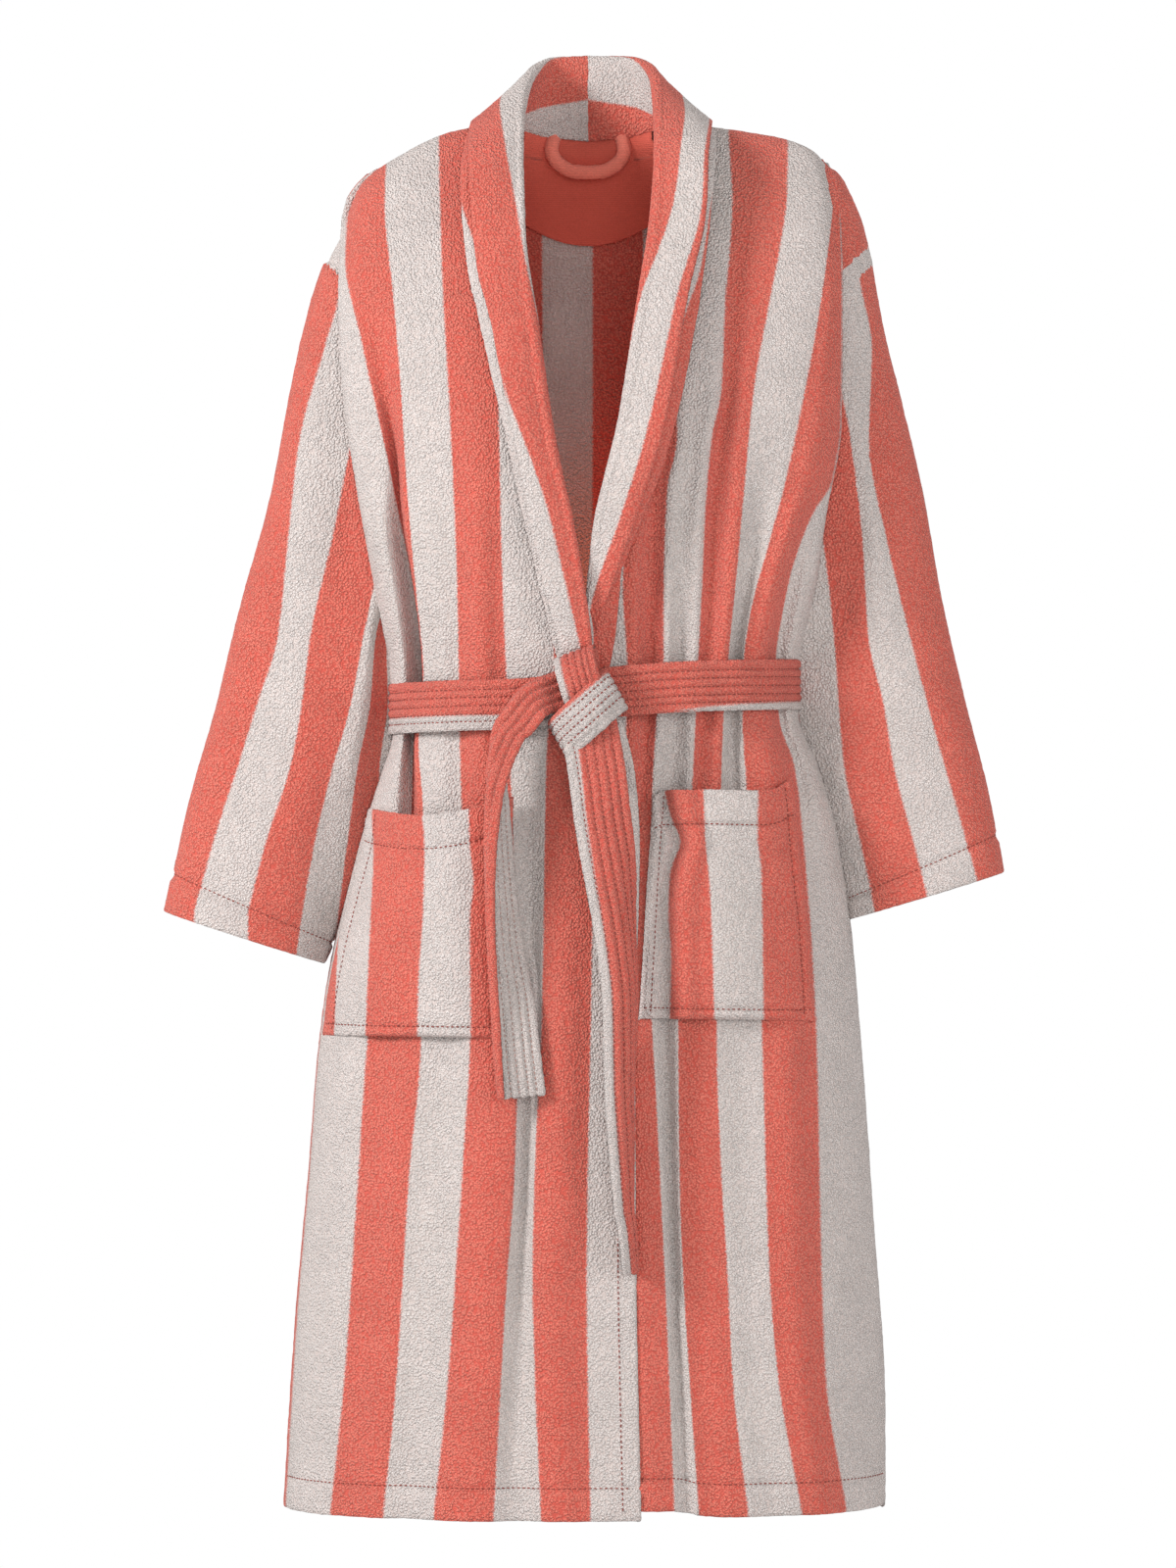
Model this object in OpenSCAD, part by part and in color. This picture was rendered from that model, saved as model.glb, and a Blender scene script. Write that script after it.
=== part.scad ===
/* [Robe] */
// Length from the back neck seam down to the hem
robe_drop = 1150; // [1080:10:1220]
// Width across the shoulders, seam to seam
shoulder_w = 426; // [410:2:440]
// Width at the belt
waist_w = 346; // [336:2:356]
// Width at the hem
hem_w = 512; // [490:2:540]
// Thickness of one layer of terry cloth
cloth_t = 4.5; // [3.5:0.5:5]

/* [Sleeves] */
// Distance of the outer cuff corner from the centre of the robe
cuff_reach = 358; // [352:1:370]
// Height of the outer cuff corner below the neck seam
cuff_drop = 644; // [620:2:660]
// Width of the flat cuff
cuff_w = 142; // [130:1:143]
// Front-to-back depth of the cuff
cuff_d = 82; // [70:1:84]

/* [Collar] */
// Height of the collar stand at the back of the neck
stand_h = 70; // [60:1:76]
// Thickness of one collar layer
collar_t = 4; // [3:0.5:4]

/* [Belt] */
// Width of the belt
belt_w = 43; // [38:1:46]
// Thickness of the belt
belt_t = 5; // [4:0.5:6]
// Height of the belt below the neck seam, at the front
belt_drop = 467; // [460:1:472]
// Length of the short tail
short_tail = 300; // [240:5:340]
// Length of the long tail
long_tail = 436; // [380:5:480]

/* [Pockets and loop] */
// Width of a pocket
pocket_w = 144; // [130:1:150]
// Height of a pocket
pocket_h = 192; // [170:1:200]
// Thickness of the cord of the hanger loop
loop_d = 11; // [9:0.5:12]

/* [Hidden] */

coral = [0.93, 0.42, 0.35];
cream = [0.93, 0.90, 0.87];

hem_z = -robe_drop;
side_y = -62;             // plane of the side seams and shoulder seams
neck_half = 80;           // half width of the neck opening at the shoulder seam
neck_rise = 16;           // rise of the neck line from its back centre to its sides
dome = 130;               // depth over which the shoulders round off
arm_edge = 50;            // half depth of the torso at the armhole
arm_end = -345;           // height of the underarm
lap = cloth_t + 2;        // distance that the right front lies over the left front
gap = 0.6;                // air between two layers that are sewn together
seam_d = cloth_t;         // half depth of the shoulder seam's ridge
across = 13;              // columns of a panel
down = 21;                // rows of a panel

// ---- small helpers ----
function lerp(a, b, t) = a + (b - a) * t;
function clamp(t) = max(0, min(1, t));
function ease(t) = let (c = clamp(t)) c * c * (3 - 2 * c);
function flat(grid) = [for (row = grid) each row];
function along(path, t) =
    let (n = len(path) - 1, k = min(n - 1, floor(t * n)))
    lerp(path[k], path[k + 1], t * n - k);
function flip_x(grid) = [for (row = grid) [for (p = row) [-p[0], p[1], p[2]]]];
function backward(grid) = [for (row = grid) [for (k = [len(row) - 1:-1:0]) row[k]]];

function normal_at(g, i, j) =
    let (
        r = len(g) - 1,
        c = len(g[0]) - 1,
        du = g[min(i + 1, r)][j] - g[max(i - 1, 0)][j],
        dv = g[i][min(j + 1, c)] - g[i][max(j - 1, 0)],
        n = cross(du, dv)
    )
    n / norm(n);
function shifted(g, d) = [
    for (i = [0:len(g) - 1]) [for (j = [0:len(g[0]) - 1]) g[i][j] + d * normal_at(g, i, j)]
];

// A closed sheet of cloth between an outer grid of points and an inner one.
module cloth(outer, inner) {
    r = len(outer);
    c = len(outer[0]);
    function o(i, j) = i * c + j;
    function n(i, j) = r * c + i * c + j;
    skin = [
        for (i = [0:r - 2]) for (j = [0:c - 2]) each [
            [o(i, j), o(i, j + 1), o(i + 1, j)],
            [o(i, j + 1), o(i + 1, j + 1), o(i + 1, j)],
            [n(i, j), n(i + 1, j), n(i, j + 1)],
            [n(i, j + 1), n(i + 1, j), n(i + 1, j + 1)]
        ]
    ];
    sides = [
        for (i = [0:r - 2]) each [
            [o(i, 0), o(i + 1, 0), n(i, 0)],
            [o(i + 1, 0), n(i + 1, 0), n(i, 0)],
            [o(i, c - 1), n(i, c - 1), o(i + 1, c - 1)],
            [o(i + 1, c - 1), n(i, c - 1), n(i + 1, c - 1)]
        ]
    ];
    ends = [
        for (j = [0:c - 2]) each [
            [o(0, j), n(0, j), o(0, j + 1)],
            [o(0, j + 1), n(0, j), n(0, j + 1)],
            [o(r - 1, j), o(r - 1, j + 1), n(r - 1, j)],
            [o(r - 1, j + 1), n(r - 1, j + 1), n(r - 1, j)]
        ]
    ];
    polyhedron(points = concat(flat(outer), flat(inner)), faces = concat(skin, sides, ends), convexity = 8);
}

// The same, for a grid whose columns run right round and meet.
module cloth_ring(outer, inner) {
    r = len(outer);
    c = len(outer[0]);
    function o(i, j) = i * c + j % c;
    function n(i, j) = r * c + i * c + j % c;
    skin = [
        for (i = [0:r - 2]) for (j = [0:c - 1]) each [
            [o(i, j), o(i, j + 1), o(i + 1, j)],
            [o(i, j + 1), o(i + 1, j + 1), o(i + 1, j)],
            [n(i, j), n(i + 1, j), n(i, j + 1)],
            [n(i, j + 1), n(i + 1, j), n(i + 1, j + 1)]
        ]
    ];
    ends = [
        for (j = [0:c - 1]) each [
            [o(0, j), n(0, j), o(0, j + 1)],
            [o(0, j + 1), n(0, j), n(0, j + 1)],
            [o(r - 1, j), o(r - 1, j + 1), n(r - 1, j)],
            [o(r - 1, j + 1), n(r - 1, j + 1), n(r - 1, j)]
        ]
    ];
    polyhedron(points = concat(flat(outer), flat(inner)), faces = concat(skin, ends), convexity = 8);
}

// ---- shape of the torso ----
function half_w(z) = lookup(z, [
    [hem_z, hem_w / 2], [-990, hem_w * 0.484], [-750, hem_w * 0.447], [-640, hem_w * 0.418],
    [-560, hem_w * 0.385], [-500, waist_w * 0.51], [-455, waist_w / 2], [-335, shoulder_w * 0.451],
    [-245, shoulder_w * 0.488], [-130, shoulder_w * 0.496], [-60, shoulder_w * 0.49]
]);
function front_d(z) = lookup(z, [
    [hem_z, 122], [-750, 110], [-560, 98], [-467, 94], [-300, 106], [-200, 100], [-100, 76], [0, 46]
]);
function back_d(z) = lookup(z, [
    [hem_z, 108], [-750, 100], [-560, 86], [-467, 80], [-300, 94], [-130, 98], [-60, 86], [0, 66]
]);
// Half depth at the sides: open at the armholes, closed at the side seams below them.
function edge_d(z) = lookup(z, [[-430, gap], [arm_end, arm_edge * 0.9], [-300, arm_edge], [0, arm_edge]]);
function round_off(s) = sqrt(max(0, 1 - pow(abs(s), 3.2)));
// Height of the shoulder line and of the back neck line.
function top_z(x) = lookup(abs(x), [
    [0, 0], [50, 5], [neck_half, neck_rise], [140, 4], [shoulder_w * 0.43, -14],
    [shoulder_w * 0.47, -34], [shoulder_w / 2, -62]
]);
// Half depth of the top edge: nothing at the shoulder seam, the neck's own curve at the back.
function top_d(x, back) = back ? max(seam_d, -side_y * sqrt(max(0, 1 - pow(x / neck_half, 2)))) : seam_d;
function depth_at(x, z, back) =
    let (
        d = back ? back_d(z) : front_d(z),
        full = edge_d(z) + (d - edge_d(z)) * round_off(x / half_w(z)),
        t = clamp((top_z(x) - z) / dome)
    )
    lerp(top_d(x, back), full, sqrt(1 - pow(1 - t, 2)));
// Height of a row, at a fraction s of the half width and v of the way from shoulder to hem.
function row_z(s, v) = lerp(top_z(s * half_w(0)), hem_z, v);
function row_v(i) = pow(i / (down - 1), 1.4);

// A point of the front (back = false) or the back, at a fraction s of the half width.
function torso(s, v, back) =
    let (z = row_z(s, v), x = s * half_w(z))
    [x, side_y + (back ? 1 : -1) * depth_at(x, z, back), z];
function angle_of(x, z) = asin(max(-1, min(1, x / half_w(z))));

// Inner edge of a front: down the neck line, then straight down to the hem.
function over_edge(z) = lookup(z, [[hem_z, 38], [-560, 34], [-430, 2], [-200, -46], [neck_rise, -neck_half]]);
function under_edge(z) = lookup(z, [[hem_z, -36], [-560, -30], [-430, -4], [-200, 46], [neck_rise, neck_half]]);

// The right front lies over the left one, and comes back to the side seam by itself.
function over_lap(x) = lap * ease((x + 150) / 70);
function right_front_grid() = [
    for (i = [0:down - 1]) let (v = row_v(i), z = row_z(0.2, v), last = angle_of(over_edge(z), z)) [
        for (j = [0:across - 1])
            let (p = torso(sin(lerp(-90, last, j / (across - 1))), v, false))
            [p[0], p[1] - over_lap(p[0]), p[2]]
    ]
];
function left_front_grid() = [
    for (i = [0:down - 1]) let (v = row_v(i), z = row_z(0.2, v), first = angle_of(under_edge(z), z)) [
        for (j = [0:across - 1]) torso(sin(lerp(first, 90, j / (across - 1))), v, false)
    ]
];
back_cols = 2 * across - 1;
function back_grid() = [
    for (i = [0:down - 1]) [
        for (j = [0:back_cols - 1]) torso(sin(lerp(90, -90, j / (back_cols - 1))), row_v(i), true)
    ]
];

module right_front_panel() {
    g = right_front_grid();
    color(coral) cloth(g, shifted(g, -cloth_t));
}
module left_front_panel() {
    g = left_front_grid();
    color(cream) cloth(g, shifted(g, -cloth_t));
}
module back_panel() {
    g = back_grid();
    color(coral) cloth(g, shifted(g, -cloth_t));
}

// ---- back neck facing, sewn inside the back panel ----
facing_drop = 84;
facing_half = 57;
facing_gap = 4.2;
module back_neck_facing() {
    g = [
        for (i = [0:5]) [
            for (j = [0:10])
                let (
                    x = lerp(facing_half, -facing_half, j / 10),
                    top = top_z(x) - 3,
                    low = -facing_drop + 20 * pow(x / facing_half, 2),
                    z = lerp(top, low, i / 5)
                )
                [x, side_y + depth_at(x, z, true), z]
        ]
    ];
    color(coral) cloth(shifted(g, -cloth_t - facing_gap), shifted(g, -cloth_t - facing_gap - 2));
}

// ---- collar: neck seam, roll and outer edge, from the back centre to the belt ----
// Each list holds [x, y, z] round the neck, and [x, z] where the collar lies on the front.
neck_seam = [[-2.4, -5, 2], [-42, -14, 7], [-71, -58, 21]];
neck_roll = [[-2.4, -8, stand_h], [-38, -18, stand_h - 4], [-60, -56, stand_h - 24]];
neck_edge = [[-2.4, 20, -12], [-58, 12, 0], [-106, -62, 35]];
front_seam = [[-74, -16], [-68, -80], [-56, -160], [-42, -250], [-28, -340], [-20, -422]];
front_roll = [[-54, -4], [-50, -72], [-37, -160], [-24, -250], [-9, -340], [-3, -422]];
front_edge = [[-110, -28], [-106, -90], [-92, -165], [-76, -252], [-58, -341], [-38, -422]];
layer = collar_t + gap;
// The collar stands higher off the cloth as it nears the shoulder.
function on_front(p, off) =
    let (rise = 1.1 * off * clamp((p[1] + 60) / 50))
    [p[0], side_y - depth_at(p[0], p[1], false) - lap - off - rise, p[1]];
seam_line = concat(neck_seam, [for (p = front_seam) on_front(p, 4)]);
roll_line = concat(neck_roll, [for (p = front_roll) on_front(p, 2.4 * layer)]);
edge_line = concat(neck_edge, [for (p = front_edge) on_front(p, 3.2 * layer)]);
stations = 19;
roll_r = 8;
// One cross-section: up the stand, over the roll and down to the outer edge. The way round
// the roll bulges away from the fold, so that the under collar has room inside it.
function collar_section(t) =
    let (
        a = along(seam_line, t),
        b = along(roll_line, t),
        c = along(edge_line, t),
        up = (b - a) / norm(b - a),
        down_way = (c - b) / norm(c - b),
        side = down_way - up * (down_way * up),
        away = side / norm(side)
    )
    [
        a, lerp(a, b, 0.5), b - up * roll_r, b - up * 2 + away * 2,
        b + away * roll_r, b + away * 1.7 * roll_r - up * roll_r, lerp(b, c, 0.6) + away * 4, c
    ];
function collar_grid() = backward([for (i = [0:stations - 1]) collar_section(i / (stations - 1))]);
// The part of a collar from its roll to its outer edge.
function fall_grid() = [for (row = collar_grid()) [for (k = [0:2]) row[k]]];

module collar_half(tone, left, outer, inner) {
    color(tone)
        if (left) cloth(backward(flip_x(outer)), backward(flip_x(inner)));
        else cloth(outer, inner);
}
module upper_collar(left, tone) {
    g = collar_grid();
    collar_half(tone, left, g, shifted(g, -collar_t));
}
module under_collar(left, tone) {
    g = fall_grid();
    collar_half(tone, left, shifted(g, -layer - 2 * gap), shifted(g, -layer - collar_t));
}
module right_collar() { upper_collar(false, coral); }
module left_collar() { upper_collar(true, cream); }
module right_under_collar() { under_collar(false, coral); }
module left_under_collar() { under_collar(true, cream); }

// ---- sleeves: rings from the armhole to the cuff ----
sleeve_t = 4;
sleeve_rings = 9;
ring_points = 24;
arm_top = [-shoulder_w * 0.508, -72];
arm_bottom = [-shoulder_w * 0.405, arm_end + 5];
cuff_out = [-cuff_reach, -cuff_drop];
cuff_tilt = 18;
cuff_in = cuff_out + cuff_w * [cos(cuff_tilt), -sin(cuff_tilt)];
function sleeve_grid(inset) = [
    for (i = [0:sleeve_rings - 1])
        let (
            t = i / (sleeve_rings - 1),
            o = lerp(arm_top, cuff_out, t) + [-9 * sin(180 * t), 0],
            n = lerp(arm_bottom, cuff_in, t) + [-14 * sin(180 * t), 0],
            centre = (o + n) / 2,
            arm = (o - n) / 2,
            reach = norm(arm),
            wide = arm * (reach - inset) / reach,
            deep = lerp(arm_edge * 0.84, cuff_d / 2, t) - inset
        )
        [
            for (k = [0:ring_points - 1])
                let (a = 360 * k / ring_points)
                [centre[0] + wide[0] * cos(a), side_y + deep * sin(a), centre[1] + wide[1] * cos(a)]
        ]
];
module right_sleeve() {
    color(coral) cloth_ring(backward(sleeve_grid(0)), backward(sleeve_grid(sleeve_t)));
}
module left_sleeve() {
    color(coral) cloth_ring(flip_x(sleeve_grid(0)), flip_x(sleeve_grid(sleeve_t)));
}

// ---- patch pockets, standing off the fronts towards their open tops ----
pocket_top = -556;
pocket_bulge = 15;
pocket_mid = 138;
pocket_t = cloth_t * 0.8;
// Where a pocket lies on its front: u runs from its outer edge to its inner one.
function pocket_spot(side, u, v) =
    let (
        z = pocket_top - pocket_h * v,
        mid = pocket_mid * lerp(0.97, 1.04, v),
        half = pocket_w * (0.5 + 0.03 * v),
        x = side * lerp(min(mid + half, half_w(z) - 8), mid - half, u)
    )
    [x, side_y - depth_at(x, z, false) - (side < 0 ? over_lap(x) : 0), z];
function pocket_swell(u, v) = 1.5 + pocket_bulge * pow(sin(180 * u), 0.6) * sqrt(max(0, 1 - pow(v, 3)));
function swollen(g, off) = [
    for (i = [0:len(g) - 1]) [
        for (j = [0:len(g[0]) - 1])
            g[i][j] + normal_at(g, i, j) * (off + pocket_swell(j / (len(g[0]) - 1), i / (len(g) - 1)))
    ]
];
module pocket(side, tone) {
    g = [for (i = [0:8]) [for (j = [0:10]) pocket_spot(side, side < 0 ? j / 10 : 1 - j / 10, i / 8)]];
    color(tone) cloth(swollen(g, pocket_t), swollen(g, 0));
}
module right_pocket() { pocket(-1, cream); }
module left_pocket() { pocket(1, coral); }

// ---- belt: a band right round the waist, its knot and its two tails ----
function waist_ring(off, z) = [
    for (k = [0:47])
        let (
            a = 360 * k / 48,
            w = half_w(-belt_drop) + off,
            back = sin(a) > 0,
            x = w * cos(a),
            d = (back ? back_d(-belt_drop) : front_d(-belt_drop) + lap) + off,
            y = d * sqrt(max(0, 1 - pow(abs(cos(a)), 3.2)))
        )
        [x, side_y + (back ? y : -y), z]
];
belt_gap = 4.6;
module belt_band() {
    z = -belt_drop;
    outer = [waist_ring(belt_gap + belt_t, z + belt_w / 2), waist_ring(belt_gap + belt_t, z - belt_w / 2)];
    inner = [waist_ring(belt_gap, z + belt_w / 2), waist_ring(belt_gap, z - belt_w / 2)];
    color(coral) cloth_ring(outer, inner);
}
knot_y = side_y - front_d(-belt_drop) - lap - belt_gap - belt_t - 1;
knot_r = 13;
knot_z = [-belt_drop + 22, -belt_drop + 10, -belt_drop - 30, -belt_drop - 18];
knot_x = [-14, 14, -18, 22];
module belt_knot() {
    color(coral)
        hull()
            for (k = [0:3])
                translate([knot_x[k], knot_y - knot_r, knot_z[k]]) sphere(knot_r, $fn = 24);
}
// A flat tail: a path of its middle line, with the two edges square to it.
module tail(path, tone) {
    g = [
        for (i = [0:len(path) - 1])
            let (
                before = path[max(0, i - 1)],
                after = path[min(len(path) - 1, i + 1)],
                way = (after - before) / norm(after - before),
                side = [way[2], 0, -way[0]]
            )
            [for (j = [0:3]) path[i] + side * lerp(belt_w * 0.46, -belt_w * 0.46, j / 3)]
    ];
    color(tone) cloth(g, shifted(g, -belt_t));
}
tail_y = knot_y - 2 * knot_r + 2;
tail_top = -belt_drop - 50;
module belt_tail_short() {
    x0 = -36;
    x1 = -58;
    tail([
        [x0, tail_y, tail_top], [x0 - 12, tail_y - 1, tail_top - 16], [x1, tail_y - 1, tail_top - 45],
        [x1 + 1, tail_y, tail_top - 100], [x1 + 2, tail_y, tail_top - short_tail + 20]
    ], coral);
}
module belt_tail_long() {
    tail([
        [12, tail_y, tail_top], [15, tail_y - 1, tail_top - 90], [20, tail_y - 1, tail_top - 200],
        [24, tail_y, tail_top - long_tail + 10]
    ], coral);
}

// ---- belt loops at the side seams ----
loop_w = 12;
loop_t = 2.5;
module belt_loop(side) {
    w = half_w(-belt_drop) + 6;
    out = belt_gap + belt_t - 2;
    tall = belt_w / 2 + 7;
    color(cream)
        translate([side * w, side_y + loop_w / 2, -belt_drop])
            rotate([90, 0, 0])
                linear_extrude(loop_w)
                    mirror([side < 0 ? 1 : 0, 0])
                        difference() {
                            translate([0, -tall]) square([out + loop_t, 2 * tall]);
                            translate([-1, -tall + loop_t]) square([out + 1, 2 * (tall - loop_t)]);
                        }
}
module right_belt_loop() { belt_loop(-1); }
module left_belt_loop() { belt_loop(1); }

// ---- hanger loop: a round cord in a U below the back neck seam ----
loop_half = 29.5;
loop_bend = 19;
loop_y = -cloth_t - facing_gap - 5 - loop_d / 2;
loop_top = -7;
loop_low = -26;
module bend(side) {
    translate([side * (loop_half - loop_bend), loop_y, loop_low + loop_bend])
        rotate([90, side < 0 ? 90 : 0, 0])
            rotate([0, 0, -90])
                rotate_extrude(angle = 90, $fn = 48)
                    translate([loop_bend, 0]) circle(d = loop_d, $fn = 24);
}
module hanger_loop() {
    color(coral) {
        for (side = [-1, 1]) bend(side);
        translate([-(loop_half - loop_bend), loop_y, loop_low])
            rotate([0, 90, 0]) cylinder(d = loop_d, h = 2 * (loop_half - loop_bend), $fn = 24);
        for (side = [-1, 1])
            translate([side * loop_half, loop_y, loop_low + loop_bend])
                cylinder(d = loop_d, h = loop_top - loop_low - loop_bend + 4, $fn = 24);
    }
}

back_panel();
right_front_panel();
left_front_panel();
back_neck_facing();
right_collar();
left_collar();
right_under_collar();
left_under_collar();
right_sleeve();
left_sleeve();
right_pocket();
left_pocket();
right_belt_loop();
left_belt_loop();
belt_band();
belt_knot();
belt_tail_short();
belt_tail_long();
hanger_loop();
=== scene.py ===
"""Looks of a striped terry bathrobe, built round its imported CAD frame.

Metres, Z up, the front faces -Y; the wearer's right is -X. Guide points are in millimetres, and
sheet() and the other builders turn them into metres. S is the cloth's own coordinate across
the stripes: one stripe per unit, coral from an even number to an odd one.
"""
import math

import bpy
import numpy as np
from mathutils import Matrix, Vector


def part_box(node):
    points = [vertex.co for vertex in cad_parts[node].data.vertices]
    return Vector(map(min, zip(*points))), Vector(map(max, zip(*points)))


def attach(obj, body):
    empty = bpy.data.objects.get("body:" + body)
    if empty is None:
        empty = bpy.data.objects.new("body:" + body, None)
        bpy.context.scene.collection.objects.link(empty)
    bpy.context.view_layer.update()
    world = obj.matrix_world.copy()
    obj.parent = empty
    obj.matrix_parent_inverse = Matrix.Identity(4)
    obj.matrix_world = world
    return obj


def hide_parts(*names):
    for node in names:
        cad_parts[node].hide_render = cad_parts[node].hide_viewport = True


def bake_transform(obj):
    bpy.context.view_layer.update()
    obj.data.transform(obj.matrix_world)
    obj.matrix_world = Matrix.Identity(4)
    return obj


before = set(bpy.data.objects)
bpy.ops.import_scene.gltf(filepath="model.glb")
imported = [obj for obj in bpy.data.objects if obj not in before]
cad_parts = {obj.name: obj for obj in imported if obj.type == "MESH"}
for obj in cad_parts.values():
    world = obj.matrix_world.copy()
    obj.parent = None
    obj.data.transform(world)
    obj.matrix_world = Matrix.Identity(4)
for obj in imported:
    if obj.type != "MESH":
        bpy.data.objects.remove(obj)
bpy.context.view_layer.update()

MM = 0.001
STRIPE = 44.0          # width of one stripe of the cloth
CLOTH_T = 4.5          # thickness of one layer of terry
SIDE_Y = -62.0         # plane of the side seams and shoulder seams
HEM_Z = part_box("back_panel")[0].z / MM
NECK_HALF = 80.0
DOME = 130.0           # depth over which the shoulders round off
BACK_DROP = 2.5        # the back panel starts this much below the front at the shoulder seam
SEAM_D = 0.6           # the front and back panels stop this far from the seam plane
NECK_D = 62.0          # depth of the back of the neck
LAP = 6.5              # the right front lies this far over the left one
BELT_Z = -467.0
rng = np.random.default_rng(7)


# ---- numbers ----
def curve(points):
    """A smooth line through guide points {place: value}, level past its ends."""
    x, y = np.array(sorted(points.items()), float).T
    h, d = np.diff(x), np.diff(y) / np.diff(x)
    m = np.empty(len(x))
    m[0], m[-1] = d[0], d[-1]
    for k in range(1, len(x) - 1):
        same_way = d[k - 1] * d[k] > 0
        wa, wb = 2 * h[k] + h[k - 1], h[k] + 2 * h[k - 1]
        m[k] = (wa + wb) / (wa / d[k - 1] + wb / d[k]) if same_way else 0.0

    def value(q):
        q = np.clip(q, x[0], x[-1])
        k = np.clip(np.searchsorted(x, q) - 1, 0, len(h) - 1)
        t = (q - x[k]) / h[k]
        return (
            y[k] * (1 + 2 * t) * (1 - t) ** 2 + h[k] * m[k] * t * (1 - t) ** 2
            + y[k + 1] * t * t * (3 - 2 * t) + h[k] * m[k + 1] * t * t * (t - 1)
        )

    return value


def ease(t):
    t = np.clip(t, 0, 1)
    return t * t * (3 - 2 * t)


def lerp(a, b, t):
    return a + (b - a) * t


def bump(q):
    """A smooth hill, 1 at 0 and nothing past -1 and 1."""
    return np.where(np.abs(q) < 1, np.cos(np.clip(q, -1, 1) * math.pi / 2) ** 2, 0.0)


def unit(v):
    return v / np.maximum(np.linalg.norm(v, axis=-1, keepdims=True), 1e-9)


def steps(count):
    """Even steps from 0 to 1 as a row; its .T is a column."""
    return np.linspace(0, 1, count)[None, :]


def angles(count):
    """Even angles right round, as a row."""
    return np.linspace(0, 2 * math.pi, count, endpoint=False)[None, :]


def xyz(x, y, z):
    """A grid of points from their coordinates."""
    return np.stack(np.broadcast_arrays(x, y, z), axis=-1)


def spline(points, count):
    """count points evenly along a smooth path through the guide points."""
    p = np.array(points, float)
    s = np.concatenate([[0], np.cumsum(np.linalg.norm(np.diff(p, axis=0), axis=1))])
    q = np.linspace(0, s[-1], count)
    return np.stack([curve(dict(zip(s, along)))(q) for along in p.T], axis=1)


def normals(grid, closed=False):
    """Unit normals of a grid of points, the cross product of its down and across ways."""
    down = np.gradient(grid, axis=0)
    if closed:
        across = (np.roll(grid, -1, axis=1) - np.roll(grid, 1, axis=1)) / 2
    else:
        across = np.gradient(grid, axis=1)
    return unit(np.cross(down, across))


def smoothed(values, times):
    """A grid of numbers, each made a mean of itself and its neighbours, times over."""
    for _ in range(times):
        padded = np.pad(values, 1, mode="edge")
        values = (
            padded[1:-1, 1:-1] * 2 + padded[:-2, 1:-1] + padded[2:, 1:-1]
            + padded[1:-1, :-2] + padded[1:-1, 2:]
        ) / 6
    return values


def pile(shape, height=0.22):
    """The uneven surface of terry loops, as a height for each point."""
    fine = rng.normal(size=shape) * height * 0.5
    lumps = smoothed(rng.normal(size=shape), 3) * height * 1.2
    return fine + lumps


def borders(lines):
    """Stripe borders as (S, line), from their guide points {z: x} by S."""
    return [(level, curve(points)) for level, points in lines.items()]


def stripe_at(x, z, lines):
    """S at each point, from where the stripe borders lie on its row."""
    level = np.array([n for n, _ in lines], float)
    border = np.stack([line(z) for _, line in lines], axis=-1)
    k = np.clip((x[..., None] > border).sum(-1) - 1, 0, len(lines) - 2)
    a = np.take_along_axis(border, k[..., None], -1)[..., 0]
    b = np.take_along_axis(border, k[..., None] + 1, -1)[..., 0]
    return level[k] + (level[k + 1] - level[k]) * (x - a) / np.maximum(b - a, 1.0)


# ---- shape of the torso, as the CAD panels have it ----
SIDE_RIGHT = curve({
    0: -196, -39: -203, -76: -209, -130: -210, -212: -206, -294: -194, -376: -180, -455: -169, -497: -166,
    -531: -176, -577: -191, -640: -207, -713: -222, -769: -229, -868: -237, -991: -248, -1150: -258,
})
SIDE_LEFT = curve({
    0: 206, -22: 212, -64: 213, -110: 214, -236: 213, -316: 200, -366: 193, -435: 182, -482: 179,
    -522: 195, -576: 211, -643: 221, -753: 231, -909: 242, -1073: 252, -1150: 252,
})
FRONT_D = curve({-1150: 122, -750: 110, -560: 98, -467: 94, -300: 106, -200: 100, -100: 76, 0: 46})
BACK_D = curve({-1150: 108, -750: 100, -560: 86, -467: 80, -300: 94, -130: 98, -60: 86, 0: 66})
EDGE_D = curve({-430: SEAM_D, -345: 45, -300: 50, 0: 50})
TOP_Z = curve({
    -212: -72, -204: -58, -191: -31, -170: -14, -109: 14, -80: 18, -50: 5, 0: 0, 50: 5, 80: 18, 148: 10,
    171: 5, 191: -4, 200: -14, 209: -34,
})


def depth_at(x, z, back):
    """Half depth of the torso from the seam plane to the cloth's outer surface."""
    half = np.where(x < 0, -SIDE_RIGHT(z), SIDE_LEFT(z))
    across = np.clip(np.abs(x) / half, 0, 1)
    edge = EDGE_D(z)
    full = edge + ((BACK_D(z) if back else FRONT_D(z)) - edge) * np.sqrt(1 - across ** 3.2)
    neck = NECK_D * np.sqrt(np.clip(1 - (x / NECK_HALF) ** 2, 0, 1)) if back else 0.0
    top = TOP_Z(x) - (BACK_DROP if back else 0)
    t = np.clip((top - z) / DOME, 0, 1)
    return lerp(np.maximum(SEAM_D, neck), full, np.sqrt(1 - (1 - t) ** 2))


def over_lap(x, z):
    """How far the right front stands out to lie over the left one."""
    return LAP * ease((x + 150) / 70) * ease((TOP_Z(x) - z) / 60)


def front_y(x, z, right=None):
    """The front's outer surface. Past the middle, right says which front is meant."""
    on_right = x < 0 if right is None else right
    return SIDE_Y - depth_at(x, z, False) - np.where(on_right, over_lap(x, z), 0.0)


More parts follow.
